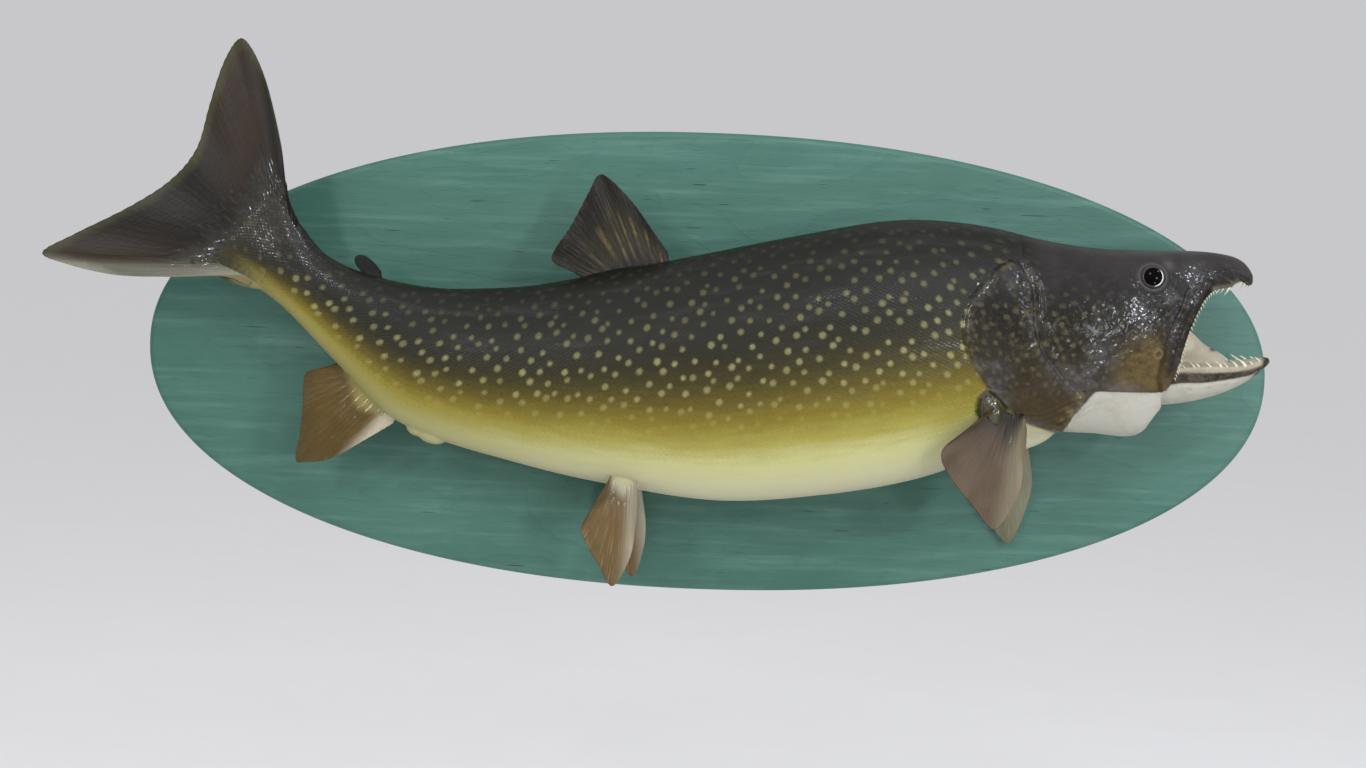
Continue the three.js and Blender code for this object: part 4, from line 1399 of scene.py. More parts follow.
def plaque_rings():
    """Sections from the back, over the eased rear corner and the rounded front one, to the face."""
    sections = [(8, 0), (BACK_EASE + 0.6, 0), (BACK_EASE, 0), (0, BACK_EASE), (0, BACK_EASE + 0.4),
                (0, BOARD_THICK / 2)]
    for turn in np.linspace(0, math.pi / 2, 8):
        inset, drop = ROUND_OVER * (1 - math.cos(turn)), ROUND_OVER * (1 - math.sin(turn))
        sections.append((inset, BOARD_THICK - drop))
    sections += [(ROUND_OVER + 0.6, BOARD_THICK), (ROUND_OVER + 8, BOARD_THICK)]
    return [plaque_ring(inset, -deep) for inset, deep in sections]


def plaque_finish():
    """Green stain over grain, pores, cracks and plies, and bare wood at the back."""
    look = Finish("stained_plywood")
    _, y, z = look.split(look.node("ShaderNodeTexCoord", out="Object"))
    swell = look.noise(look.place((2.6, 0.0, 6.5)), 1.0, 3.0, 0.5, 0.6)
    swirl = look.noise(look.place((9.0, 0.0, 16.0)), 1.0, 2.0, 0.55, 1.2)
    rings = z * 21.0 + swell * 9.0 + swirl * 1.1
    late_wood = look.ramp(look.maths("FRACT", rings),
                          [(0.0, 0.0), (0.55, 0.12), (0.86, 0.55), (0.95, 1.0), (1.0, 0.0)])
    half_line = look.ramp(look.maths("FRACT", rings * 2.7),
                          [(0.0, 0.0), (0.7, 0.1), (0.93, 0.7), (1.0, 0.0)])
    pores = look.step(look.noise(look.place((70.0, 10.0, 900.0)), 1.0, 3.0, 0.6), 0.56, 0.72)
    cracks = look.step(look.noise(look.place((26.0, 5.0, 420.0)), 1.0, 1.0, 0.4), 0.74, 0.78)
    blotch = look.noise(look.place((3.2, 3.0, 5.0)), 1.0, 4.0, 0.6)
    streaks = look.noise(look.place((7.0, 4.0, 120.0)), 1.0, 3.0, 0.55)
    back = look.step(y, -0.0006, -0.0001)
    plies = look.step(look.maths("SINE", y * 2400.0), 0.1, 0.9) * look.step(y, -0.0142, -0.0128)
    bare = look.blend(streaks, (178, 158, 122), (196, 176, 140))
    colour = look.coats(
        look.blend(look.step(blotch, 0.32, 0.68), (50, 90, 78), (64, 103, 91)),
        (look.step(streaks, 0.45, 0.75) * 0.45, (90, 126, 114)),
        (late_wood * 0.32, (46, 88, 77)),
        (half_line * 0.2, (48, 90, 80)),
        (pores * 0.45, (38, 78, 68)),
        (cracks * 0.75, (20, 48, 42)),
        (plies * 0.18 * (1 - back), (40, 84, 72)),
        (back, look.coats(bare, (late_wood * 0.4, (150, 128, 94)))),
    )
    height = late_wood * -0.4 - pores * 0.5 - cracks * 1.4 + streaks * 0.4
    return look.finish(
        Base_Color=colour, Roughness=streaks * 0.18 + 0.4, Coat_Weight=0.06, Coat_Roughness=0.3,
        Specular_IOR_Level=0.3, Normal=look.bump(height, 0.5, 0.0005))


plaque = make_piece("plaque", *solid_of_rings(plaque_rings()), plaque_finish())
tidy_normals(plaque)
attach(plaque, BODY)
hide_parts("board")
print("plaque", (BOARD_HALF * 2).round(1), "mm and", round(BOARD_THICK, 1), "mm thick")

# %% [markdown]
# ## Fins
# A fin is a thin plate on bony rays that fork toward the margin. Each one is a closed sheet on a grid:
# one direction runs from the front ray to the last, the other from the root to the margin. The
# rays stand up as rounded ridges that double in number on the way out, and the membrane between them
# ends in a slightly ragged edge. Grid places are stored as the attribute ray, which the paint follows.

# %% Fin tables
FINS = {  # base, y at base and margin, thickness at both, bulge, rays, margin from front to rear
    "dorsal_fin": dict(
        base=[(-36, 84), (-106, 66)], y=(-79, -80), thick=(5, 1.1), bulge=2, rays=11,
        margin=[(-38, 98), (-53, 118), (-70, 140), (-91, 160), (-101, 162), (-109, 146),
                (-124, 116), (-135, 99), (-138, 87), (-122, 79), (-108, 73)]),
    "adipose_fin": dict(
        base=[(-283, 60), (-297, 64)], y=(-83, -84), thick=(5, 2), bulge=0, rays=0,
        margin=[(-285, 73), (-292, 81), (-300, 86), (-307, 85), (-307, 78), (-299, 71)]),
    "anal_fin": dict(
        base=[(-266, -48), (-316, -3)], y=(-80, -82), thick=(5, 1.1), bulge=-2, rays=11,
        margin=[(-272, -59), (-294, -73), (-324, -91), (-347, -95), (-355, -93), (-352, -70),
                (-350, -45), (-349, -19), (-336, -13), (-323, -9)]),
    "tail_fin": dict(
        base=[(-357, 103), (-388, 64)], y=(-97, -106), thick=(9, 1.2), bulge=-5, rays=19,
        ray_height=0.16, wrinkles=0.9,
        margin=[(-354, 114), (-364, 140), (-370, 178), (-382, 226), (-396, 257), (-407, 266),
                (-419, 248), (-432, 207), (-442, 171), (-463, 145), (-497, 121), (-544, 96),
                (-571, 79), (-551, 70), (-508, 62), (-464, 62), (-416, 64), (-396, 57)]),
    "pelvic_fin_right": dict(
        base=[(-58, -92), (-79, -88)], y=(-97, -120), thick=(5, 1.1), bulge=-3, rays=9,
        margin=[(-56, -112), (-57, -135), (-61, -163), (-75, -188), (-88, -170), (-103, -143),
                (-98, -127), (-83, -110)]),
    "pelvic_fin_left": dict(
        base=[(-56, -90), (-77, -86)], y=(-58, -38), thick=(5, 1.1), bulge=3, rays=9,
        margin=[(-55, -112), (-50, -140), (-51, -167), (-60, -192), (-74, -174), (-88, -146),
                (-88, -128), (-79, -110)]),
    "pectoral_fin_right": dict(
        base=[(268, -26), (245, -16)], y=(-122, -152), thick=(7, 1.2), bulge=-5, rays=13, ray_height=0.3,
        margin=[(268, -38), (267, -60), (263, -92), (245, -123), (225, -104), (204, -79),
                (197, -60), (212, -44), (238, -26)]),
    "pectoral_fin_left": dict(
        base=[(270, -20), (247, -12)], y=(-44, -27), thick=(7, 1.2), bulge=4, rays=13,
        margin=[(280, -40), (290, -70), (293, -104), (277, -151), (258, -134), (238, -104),
                (232, -80), (238, -55), (244, -30)]),
}
RAY_HEIGHT = 0.5
FORKS = ((-1.0, 1), (0.3, 2), (0.62, 4), (2.0, 0))  # share of the length where rays fork, and into how many
FORK_BLEND = 0.09
RAGGED = 0.45
WAVE = 1.0  # how far the membrane waves between the rays at the margin
MEMBRANE = 0.7  # the least thickness


def ray_relief(u, v, rays):
    """Height of the rays over the membrane, from -1 to 1."""
    height = np.zeros_like(u)
    for (start, count), (end, _) in zip(FORKS[:-1], FORKS[1:]):
        share = step(v, start - FORK_BLEND, start + FORK_BLEND)
        share *= 1 - step(v, end - FORK_BLEND, end + FORK_BLEND)
        height += share * np.abs(np.cos(math.pi * rays * count * u)) ** 1.4 / math.sqrt(count)
    return height * 2 - 0.8


def wrinkle_relief(u, v):
    """Uneven furrows of dried skin across the root of a fin."""
    share = bell(v - 0.3, 0.16) * step(u, 0.04, 0.2) * step(1 - u, 0.1, 0.35)
    furrows = np.sin(u * 171.0 + 2.2 * np.sin(v * 41.0 + u * 23.0))
    return share * furrows * (0.6 + 0.4 * np.sin(v * 130.0 + 3.0 * np.sin(u * 37.0)))


def fin_grid(facts, across, out):
    """Front and rear faces of a fin, each [across, out, 3], and the grid places."""
    base, margin = np.array(facts["base"], float), np.array(facts["margin"], float)
    u, v = np.meshgrid(np.linspace(0, 1, across), np.linspace(0, 1, out), indexing="ij")
    edge = smooth(margin, u * (len(margin) - 1))
    root = base[0] * (1 - u[..., None]) + base[1] * u[..., None]
    ragged = RAGGED * (facts["rays"] > 0) * np.abs(np.sin(math.pi * facts["rays"] * 4 * u)) ** 3
    reach = np.linalg.norm(edge - root, axis=-1)
    tip = v * (1 - ragged * v ** 6 / np.maximum(reach, 12))
    side_view = root + (edge - root) * tip[..., None]
    spread = np.sin(math.pi * u) * np.sin(math.pi * np.minimum(v, 0.999))
    y = facts["y"][0] + (facts["y"][1] - facts["y"][0]) * v + facts["bulge"] * spread
    thick = facts["thick"][0] + (facts["thick"][1] - facts["thick"][0]) * v ** 0.6
    if facts["rays"]:
        rays = ray_relief(u, v, facts["rays"]) * step(v, 0.02, 0.2) * (1.15 - 0.6 * v)
        height = facts.get("ray_height", RAY_HEIGHT)
        thick = thick + height * rays * step(u, -0.01, 0.02) * step(1 - u, -0.01, 0.02)
        y = y + WAVE * np.sin(math.pi * facts["rays"] * u + 1.0) * v ** 2
    if "wrinkles" in facts:
        thick = thick + facts["wrinkles"] * wrinkle_relief(u, v)
    half = np.maximum(thick, MEMBRANE) / 2
    faces = [np.stack([side_view[..., 0], y + face * half, side_view[..., 1]], -1) for face in (-1, 1)]
    return *faces, u, v


def fin_piece(name, facts, finish, across, out):
    front, rear, u, v = fin_grid(facts, across, out)
    rings = np.concatenate([front, rear[:, ::-1]], axis=1)
    piece = make_piece(name + "_skin", *solid_of_rings(rings), finish)
    grid = np.concatenate([np.stack([u, v, -np.ones_like(u)], -1),
                           np.stack([u, v, np.ones_like(u)], -1)[:, ::-1]], axis=1).reshape(-1, 3)
    ends = np.array([[0, 0.5, 0], [1, 0.5, 0]])
    store(piece, "ray", np.concatenate([grid, ends]))
    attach(piece, BODY)
    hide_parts(name)
    return piece


print(len(FINS), "fins in the table")

# %% Fin paint and fins
FIN_PAINT = {  # membrane, toward the margin, front edge, root, rays, how wide the front edge is
    "dorsal_fin": ((22, 20, 13), (18, 15, 12), (20, 18, 15), (22, 20, 17), (78, 64, 36), 0.02),
    "adipose_fin": ((12, 12, 11), (10, 10, 9), (11, 11, 10), (20, 19, 17), (12, 12, 11), 0.02),
    "anal_fin": ((78, 60, 20), (68, 56, 24), (166, 157, 136), (142, 132, 74), (112, 82, 32), 0.24),
    "tail_fin": ((21, 17, 12), (17, 15, 10), (13, 12, 10), (18, 16, 12), (33, 25, 18), 0.03),
    "pelvic_fin": ((88, 67, 32), (84, 66, 36), (158, 152, 132), (168, 164, 142), (146, 130, 94), 0.46),
    "pectoral_fin_left": ((100, 97, 76), (92, 92, 70), (126, 123, 102), (100, 93, 68), (138, 134, 112),
                          0.42),
    "pectoral_fin": ((71, 57, 41), (79, 65, 48), (140, 131, 108), (22, 18, 13), (94, 80, 60), 0.44),
}


def dorsal_gleam(look, colour, u, v, rays, cloud, threads):
    """Painted glints: pale golden streaks along the rays in the middle of the back fin."""
    gleam = look.step(u, 0.8, 0.4) * look.step(v, 0.06, 0.2) * look.step(v, 0.8, 0.45)
    # painted glints along the rays
    strips = look.step(look.maths("COSINE", u * (2 * math.pi * rays) + threads * 2.5), 0.45, 0.95)
    return look.coats(colour, (gleam * 0.4, (52, 44, 24)),
                      (gleam * strips * look.step(cloud, 0.42, 0.62) * 0.55, (118, 100, 60)))


def tail_colour(look, colour, u, v, cloud, thread_places):
    """Rust in both lobes, an olive hem, a dark root, and a pale lower edge."""
    rusty = look.step((u - 0.34).size(), 0.19, 0.03).at_least(look.step((u - 0.74).size(), 0.16, 0.03))
    uneven = (cloud - 0.5) * 0.2
    olive = look.step(u, 0.5, 0.8) * look.step(v + uneven, 0.5, 0.12)
    pale = look.step(u + (look.noise(thread_places, 0.8, 2.0) - 0.5) * 0.1, 0.68, 0.88)
    low_hem = look.step(u, 0.69, 0.76) * look.step(v + uneven, 0.7, 0.98)
    return look.coats(
        colour,
        (rusty * look.step(v, 0.3, 0.6) * (cloud * 0.8 + 0.1), (52, 37, 25)),
        (look.step(v + uneven * 0.5, 0.9, 1.0) * 0.6, (62, 62, 34)),
        (look.step(v, 0.4, 0.15) * 0.8, (22, 20, 15)),
        (olive * 0.75, (70, 64, 36)),
        (pale.at_least(low_hem) * 0.8, (122, 121, 106)),
        (look.step(u, 0.88, 0.95) * 0.85, (96, 88, 50)),
    )


def fin_finish(kind, rays):
    membrane, margin, front, root, ray_colour, front_wide = FIN_PAINT[kind]
    tail = kind == "tail_fin"
    look = Finish(kind + "_paint")
    u, v, _ = look.split(look.attribute("ray", "Vector"))
    where = look.place()
    cloud = look.noise(where, 38.0, 4.0, 0.6)
    thread_places = look.join(u * (rays * 7.0), v * 2.2, 0.0)
    threads = look.noise(thread_places, 1.6, 3.0, 0.6)
    colour = look.coats(
        look.blend(look.step(v, 0.55, 1.0), membrane, margin),
        (look.step(cloud, 0.4, 0.7) * 0.35, [c * 0.62 for c in membrane]),
        (look.step(threads, 0.5, 0.72) * (0.2 if tail else 0.45), ray_colour),
    )
    if kind == "dorsal_fin":
        colour = dorsal_gleam(look, colour, u, v, rays, cloud, threads)
    if tail:
        colour = tail_colour(look, colour, u, v, cloud, thread_places)
    edge = look.step(u + (threads - 0.5) * 0.12, front_wide, front_wide * 0.35)
    colour = look.coats(colour, (edge, front))
    if not tail:
        root_reach = 0.45 if kind == "pectoral_fin" else 0.3
        colour = look.coats(colour, (look.step(v + (threads - 0.5) * 0.1, root_reach, 0.1), root))
    segment = look.maths("SINE", v * 170.0 + cloud * 6.0) * look.step(v, 0.25, 0.6)
    fine = look.bump(threads + segment * 0.08, 0.35 if tail else 0.6, 0.0006)
    rough_root = look.step(v, 0.5, 0.2) * (0.9 if tail else 0.4) + 0.2
    crinkle = look.bump(look.noise(where, 300.0, 4.0, 0.65), rough_root, 0.0011, fine)
    wet = look.step(v + (cloud - 0.5) * 0.3, 0.5, 0.3) * (0.9 if tail else 0.2)
    return look.finish(Base_Color=colour, Roughness=threads * 0.2 + 0.32, Specular_IOR_Level=SPECULAR,
                       Coat_Weight=wet, Coat_Roughness=0.13, Normal=crinkle)


FIN_GRIDS = {"tail_fin": (400, 90), "adipose_fin": (60, 20)}
FIN_GRID = (240, 70)
for fin_name, fin_facts in FINS.items():
    fin_kind = fin_name if fin_name in FIN_PAINT else fin_name.replace("_right", "").replace("_left", "")
    fin_look = fin_finish(fin_kind, max(fin_facts["rays"], 8))
    fin = fin_piece(fin_name, fin_facts, fin_look, *FIN_GRIDS.get(fin_name, FIN_GRID))
    print(fin_name, len(fin.data.polygons), "faces")

# %% [markdown]
# ## Glass eyes
# A taxidermist's eye is a shallow dome of clear glass with the pupil and a thin iris painted behind it.
# The iris carries a painted highlight: it is paler in front. The lids of the skin lie over its edge.

# %% Eyes
EYE_SUNK = 7.0
EYE_GAP = 0.4  # between the glass and the socket
PUPIL, IRIS = 0.74, 0.81  # radii, as shares of the eye's
# The pale side of the iris is a painted highlight.
GLEAM_TURN = 0.3  # radians that the pale side of the iris is turned down from straight ahead


def eye_finish():
    """A black pupil and a thin iris, grey behind and pale in front as a painted highlight."""
    look = Finish("glass_eye")
    ring, front, _ = look.split(look.attribute("ring", "Vector"))
    ragged = ring + look.noise(look.place(), 600.0, 2.0) * 0.03
    colour = look.coats(
        paint(6, 5, 5),
        # painted highlight: the iris is pale in front
        (look.step(ragged, PUPIL, PUPIL + 0.03),
         look.blend(look.step(front, 0.3, 0.85), (60, 58, 52), (206, 204, 198))),
        (look.step(ragged, IRIS, IRIS + 0.04), (54, 51, 48)),
    )
    return look.finish(Base_Color=colour, Roughness=ring * 0.02 + 0.04, Specular_IOR_Level=0.03)


EYE_LOOK = eye_finish()


def eye_piece(name, side):
    """A dome on a short stem; the ring's place and how far forward it lies are kept for the paint."""
    radius, dome = EYE["radius"] - EYE_GAP, EYE["dome"]
    turn = np.linspace(0, math.pi / 2, 20)
    profile = [(radius * 0.6, -EYE_SUNK), (radius, -EYE_SUNK + 1)]
    profile += [(radius * math.cos(t), dome * math.sin(t)) for t in turn[:-1]] + [(0.05, dome)]
    profile = np.array(profile)
    angle = turns(64)
    middle, axis = eye_axis(side)
    first = np.array([1.0, 0, 0])
    second = np.cross(axis, first)
    rings = middle + (
        profile[:, None, 0:1] * (np.cos(angle)[None, :, None] * first
                                 + np.sin(angle)[None, :, None] * second)
        + profile[:, None, 1:2] * axis)
    piece = make_piece(name + "_glass", *solid_of_rings(head_to_world(rings)), EYE_LOOK)
    share = np.repeat(profile[:, 0] / radius, len(angle))
    # where the painted highlight on the iris falls
    front = np.tile(np.cos(angle - side * GLEAM_TURN), len(profile))
    ring = np.stack([share, front, np.zeros(len(share))], -1)
    store(piece, "ring", np.concatenate([ring, [[1.0, 0.0, 0.0], [0.0, 0.0, 0.0]]]))
    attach(piece, BODY)
    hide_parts(name)
    return piece


for eye_name, side in (("eye_right", -1), ("eye_left", 1)):
    print(eye_name, len(eye_piece(eye_name, side).data.polygons), "faces")

# %% [markdown]
# ## Repeating parts
# Scales and teeth are one small shape set down many times. A Geometry Nodes tree does that: it takes
# the points, turns each copy by the point's outward and rearward directions, tilts it, varies its size
# and turn, and makes it all one mesh. For scales it also carries the paint's place (lie) and the
# patch of the coat's flat map (OFBake) across each copy.


# %% The tree that sets copies on points
class Tree(Graph):
    """A Geometry Nodes tree with named inputs."""

    def __init__(self, name, inputs):
        super().__init__(bpy.data.node_groups.new(name, "GeometryNodeTree"))
        self.ids = {}
        for label, (kind, value) in inputs.items():
            socket = self.tree.interface.new_socket(label, in_out="INPUT", socket_type=f"NodeSocket{kind}")
            self.ids[label] = socket.identifier
            if value is not None:
                socket.default_value = value
        self.tree.interface.new_socket("Geometry", in_out="OUTPUT", socket_type="NodeSocketGeometry")
        self.start = self.tree.nodes.new("NodeGroupInput")
        self.end = self.tree.nodes.new("NodeGroupOutput")

    def given(self, label):
        return Value(self, self.start.outputs[label])

    def attribute(self, name):
        return self.node("GeometryNodeInputNamedAttribute", {"data_type": "FLOAT_VECTOR"}, Name=name)

    def vector(self, operation, *values, **sockets):
        return self.maths(operation, *values, kind="ShaderNodeVectorMath", **sockets)

    def random(self, low, high, seed):
        settings = {"data_type": "FLOAT"}
        return self.node("FunctionNodeRandomValue", settings, out=1, _2=low, _3=high, Seed=seed)


SCATTER_INPUTS = {  # kind and usual value
    "Points": ("Geometry", None), "Shape": ("Object", None), "Tilt": ("Float", 0.1),
    "Tilt Spread": ("Float", 0.03), "Turn Spread": ("Float", 0.1), "Size Spread": ("Float", 0.1),
    "Patch": ("Float", 0.001), "Seed": ("Int", 7), "Finish": ("Material", None),
}


def scatter_tree(name, with_places):
    """Sets a shape on points; each copy is turned, tilted and sized a little by chance."""
    tree = Tree(name, SCATTER_INPUTS)
    seed, tilt_spread, turn_spread, size_spread = (
        tree.given(label) for label in ("Seed", "Tilt Spread", "Turn Spread", "Size Spread"))
    size, local = tree.attribute("size"), tree.attribute("local")
    lift = (tree.random(tilt_spread * -1.0, tilt_spread, seed) + tree.given("Tilt")) * -1.0
    spin = tree.random(turn_spread * -1.0, turn_spread, seed + 1.0)
    growth = tree.random(1.0 - size_spread, size_spread + 1.0, seed + 2.0)
    align = "FunctionNodeAlignRotationToVector"
    facing = tree.node(align, {"axis": "Z"}, Vector=tree.attribute("outward"))
    facing = tree.node(align, {"axis": "X", "pivot_axis": "Z"}, Rotation=facing,
                       Vector=tree.attribute("rearward"))
    extra = tree.node("FunctionNodeEulerToRotation",
                      Euler=tree.node("ShaderNodeCombineXYZ", _0=0.0, _1=lift, _2=spin))
    facing = tree.node("FunctionNodeRotateRotation", {"rotation_space": "LOCAL"}, _0=facing, _1=extra)
    shape = tree.node("GeometryNodeObjectInfo", out="Geometry", Object=tree.given("Shape"))
    mesh = tree.node("GeometryNodeInstanceOnPoints", Points=tree.given("Points"), Instance=shape,
                     Rotation=facing, Scale=tree.vector("SCALE", size, Scale=growth))
    mesh = tree.node("GeometryNodeRealizeInstances", Geometry=mesh)
    if with_places:
        here = tree.vector("MULTIPLY", tree.vector("MULTIPLY", local, size), (-1.0, 1.0, 0.0))
        lie = tree.vector("ADD", tree.attribute("root_lie"), here)
        patch = tree.vector("ADD", tree.attribute("patch"),
                            tree.vector("SCALE", local, Scale=tree.given("Patch")))
        for label, kind, domain, value in (("lie", "FLOAT_VECTOR", "POINT", lie),
                                           ("OFBake", "FLOAT2", "CORNER", patch)):
            settings = {"data_type": kind, "domain": domain}
            mesh = tree.node("GeometryNodeStoreNamedAttribute", settings, Geometry=mesh, Name=label,
                             Value=value)
    mesh = tree.node("GeometryNodeSetMaterial", Geometry=mesh, Material=tree.given("Finish"))
    tree.tree.links.new(mesh.socket, tree.end.inputs[0])
    return tree


def set_down(name, points, facts, tree, settings):
    """Copies of a shape on points (in metres), made one plain mesh that rides on the fish."""
    cloud = bpy.data.meshes.new(name)
    cloud.from_pydata(points.tolist(), [], [])
    piece = linked(name, cloud)
    for attribute, values in facts.items():
        store(piece, attribute, values)
    modifier = piece.modifiers.new("set_down", "NODES")
    modifier.node_group = tree.tree
    for label, value in settings.items():
        modifier[tree.ids[label]] = value
    applied(piece)
    for extra in ("outward", "rearward", "size", "root_lie", "local", "patch"):
        layer = piece.data.attributes.get(extra)
        if layer:
            piece.data.attributes.remove(layer)
    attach(piece, BODY)
    return piece


SCALE_TREE = scatter_tree("scales_on_points", True)
TOOTH_TREE = scatter_tree("teeth_on_points", False)
print("trees with", len(SCALE_TREE.tree.nodes), "and", len(TOOTH_TREE.tree.nodes), "nodes")

# %% [markdown]
# ## Scales
# Each scale is a thin closed dome with five points round its free edge and two at its sunk root, and a
# sharp rim so that its top keeps its own gleam. Scales sit in slanting rows: every other row is
# shifted by half a scale, and each one overlaps the next toward the tail.

# %% One scale
SCALE_RIM = [
    (-0.66, 0.24), (-0.12, 0.54), (0.38, 0.42), (0.62, 0.0), (0.38, -0.42), (-0.12, -0.54), (-0.66, -0.24),
]
SCALE_TOP, SCALE_UNDER = (0.02, 0.0, 0.075), (0.0, 0.0, -0.03)


def scale_shape():
    count = len(SCALE_RIM)
    points = [(x, y, 0.0) for x, y in SCALE_RIM] + [SCALE_TOP, SCALE_UNDER]
    faces = [((i + 1) % count, i, count) for i in range(count)]
    faces += [(i, (i + 1) % count, count + 1) for i in range(count)]
    mesh = bpy.data.meshes.new("one_scale")
    mesh.from_pydata(points, [], faces)
    mesh.shade_smooth()
    shape = bpy.data.objects.new("one_scale", mesh)
    store(shape, "local", points)
    rim = mesh.attributes.new("sharp_edge", "BOOLEAN", "EDGE")
    rim.data.foreach_set("value", [max(edge.vertices) < count for edge in mesh.edges])
    return shape


ONE_SCALE = scale_shape()
print("one scale has", len(ONE_SCALE.data.polygons), "triangles")

# %% Where the scales sit
SCALE_ROW, SCALE_PITCH = 2.35, 3.4  # millimetres between rows, and along a row
SCALE_LONG, SCALE_WIDE = 5.4, 4.0
SCALE_DEPTH = -0.62  # how far a scale's root lies under the plain form
FIRST_ROW, PAST_NAPE = 4.0, 24.0  # from the tail's end, and beyond the nape where the rows end
NAPE_X = 262.0
THROAT_X, THROAT_HEIGHT = 238.0, -42.0
COVER_GAP = 2.5
PLAQUE_Y = -20.0


def scale_places():
    """Stations and angles on a quincunx that is measured from the middle of each flank."""
    stations, angles = [], []
    last = float(np.interp(NAPE_X, GRID_ROW[:, 0], GRID_ALONG)) + PAST_NAPE
    for number, along in enumerate(np.arange(FIRST_ROW, last, SCALE_ROW)):
        t = float(np.interp(along, GRID_ALONG, GRID_T))
        girths = girth_at(np.full(ROUND_COUNT, t), GRID_ANGLE)
        middle = np.interp(math.pi / 2, GRID_ANGLE, girths)
        shift = 0.5 * (number % 2)
        first = math.ceil(-middle / SCALE_PITCH - shift)
        final = math.floor((girths[-1] - middle) / SCALE_PITCH - shift)
        girth = middle + (np.arange(first, final + 1) + shift) * SCALE_PITCH
        angle = np.interp(girth, girths, GRID_ANGLE)
        stations.append(np.full(2 * len(angle), t))
        angles.append(np.concatenate([angle, -angle]))
    return np.concatenate(stations), np.concatenate(angles)


def on_bare_skin(points):
    """True on the head, under the throat, against the plaque and inside the roots of the fins."""
    x, _, height = world_to_head(points).T
    cover = inside(np.stack([x, height], -1), GILL_EDGE)
    bare = (cover > -COVER_GAP) | (x > NAPE_X) | (points[:, 1] > PLAQUE_Y)
    bare |= (x > THROAT_X) & (height < THROAT_HEIGHT)
    for name, facts in LOBES.items():
        bare |= lobe_share(points, *facts) < (PECTORAL_REACH - 0.2 if "pectoral" in name else 1.0)
    return bare


def scale_facts(t, angle):
    """Places, outward and rearward directions and markings of the scales."""
    nudge = 0.01
    points = surface(t, angle, SCALE_DEPTH)
    ahead = surface(np.minimum(t + nudge, SNOUT), angle) - surface(np.maximum(t - nudge, 0), angle)
    round_about = surface(t, angle + nudge) - surface(t, angle - nudge)
    row = smooth(FISH, t)
    offset = points - row[:, :3]
    outward = unit(np.cross(round_about, ahead))
    outward *= np.sign((offset * outward).sum(1))[:, None]
    height = (row[:, 3:6] * offset).sum(1) / row[:, 9]
    lie = lie_of(t, angle, np.clip(height, -HEIGHT_LIMIT, HEIGHT_LIMIT))
    reach = 2 * float(GRID_GIRTH.max()) * MM
    patch = np.stack([lie[:, 0] / FISH_LENGTH, lie[:, 1] / reach + 0.5, np.zeros(len(t))], -1)
    return points, {"outward": outward, "rearward": -ahead, "root_lie": lie, "patch": patch}


scale_t, scale_angle = scale_places()
keep = ~on_bare_skin(surface(scale_t, scale_angle))
scale_t, scale_angle = scale_t[keep], scale_angle[keep]
print(len(scale_t), "scales")

# %% Scale finish and pieces
SCALE_NAMES = ["scales_tail", "scales_rear_flank", "scales_front_flank", "scales_shoulder"]


def scale_finish():
    """The flank's paint under lacquer that has pooled here and there, most on the tail."""
    look = Finish("lacquered_scales")
    colour, level = flank_colour(look)
    lie = look.attribute("lie", "Vector")
    along, _, _ = look.split(lie)
    tone = look.step(look.noise(lie, 480.0, 1.0), 0.45, 0.75)
    colour = look.coats(colour, (tone * look.step(level, 0.2, 0.6) * 0.25, (10, 9, 7)))
    crinkle = look.noise(look.place(), 520.0, 3.0, 0.6)
    patches = look.step(look.noise(lie, 13.0, 3.0, 0.6), 0.5, 0.7) * look.step(level, 0.2, 0.4)
    pooled = look.step(look.noise(lie, 70.0, 3.0, 0.6), 0.45, 0.62)
    pooled = pooled * look.step(look.noise(lie, 330.0, 2.0), 0.4, 0.55)
    tail = look.step(along, 0.16, 0.05) * look.step(level, 0.4, 0.6) * (pooled * 0.8 + 0.08)
    return look.finish(
        Base_Color=colour, Roughness=crinkle * 0.25 + 0.3, Specular_IOR_Level=SPECULAR,
        Coat_Weight=(patches * 0.22).at_least(tail) + 0.02, Coat_Roughness=0.16,
        Normal=look.bump(crinkle, 0.4, 0.0004))


SCALE_SETTINGS = {
    "Shape": ONE_SCALE, "Tilt": 0.085, "Tilt Spread": 0.03, "Turn Spread": 0.09, "Size Spread": 0.07,
    "Patch": 0.0024, "Seed": 11, "Finish": scale_finish(),
}


def add_scales(name, points, facts):
    facts["size"] = np.tile(np.array([SCALE_LONG, SCALE_WIDE, SCALE_LONG]) * MM, (len(points), 1))
    piece = set_down(name, points * MM, facts, SCALE_TREE, SCALE_SETTINGS)
    print(name, len(piece.data.polygons), "triangles")


tail_first = np.argsort(scale_t, kind="stable")
for scales_name, chosen in zip(SCALE_NAMES, np.array_split(tail_first, len(SCALE_NAMES))):
    add_scales(scales_name, *scale_facts(scale_t[chosen], scale_angle[chosen]))

# %% [markdown]
# ## Scales on the root of the tail fin
# On a trout the scales don't stop at the end of the body: they run out over the roots of the tail fin's
# rays, thinning out in an uneven border. Each face of the fin carries its own rows, placed on the
# fin's grid, and the same tree sets them down.

# %% Scales over the root of the tail fin
ROOT_REACH = 70.0  # millimetres, from the fin's base out along its rays
ROOT_FIRST_ROW, ROOT_WIDE, ROOT_SPREAD = 12.0, 52.0, 1.1  # width of the base, and what each millimetre adds
ROOT_ACROSS, ROOT_OUT = 241, 181
ROOT_SINK = 0.3


def root_rows():
    """Shares across the fin and millimetres out from its base, row by row."""
    shares, reaches = [], []
    for number, out in enumerate(np.arange(ROOT_FIRST_ROW, ROOT_REACH, SCALE_ROW)):
        count = int((ROOT_WIDE + out * ROOT_SPREAD) / SCALE_PITCH)
        shares.append((np.arange(count) + 0.3 + 0.5 * (number % 2)) / (count + 0.3))
        reaches.append(np.full(count, out))
    return np.concatenate(shares), np.concatenate(reaches)


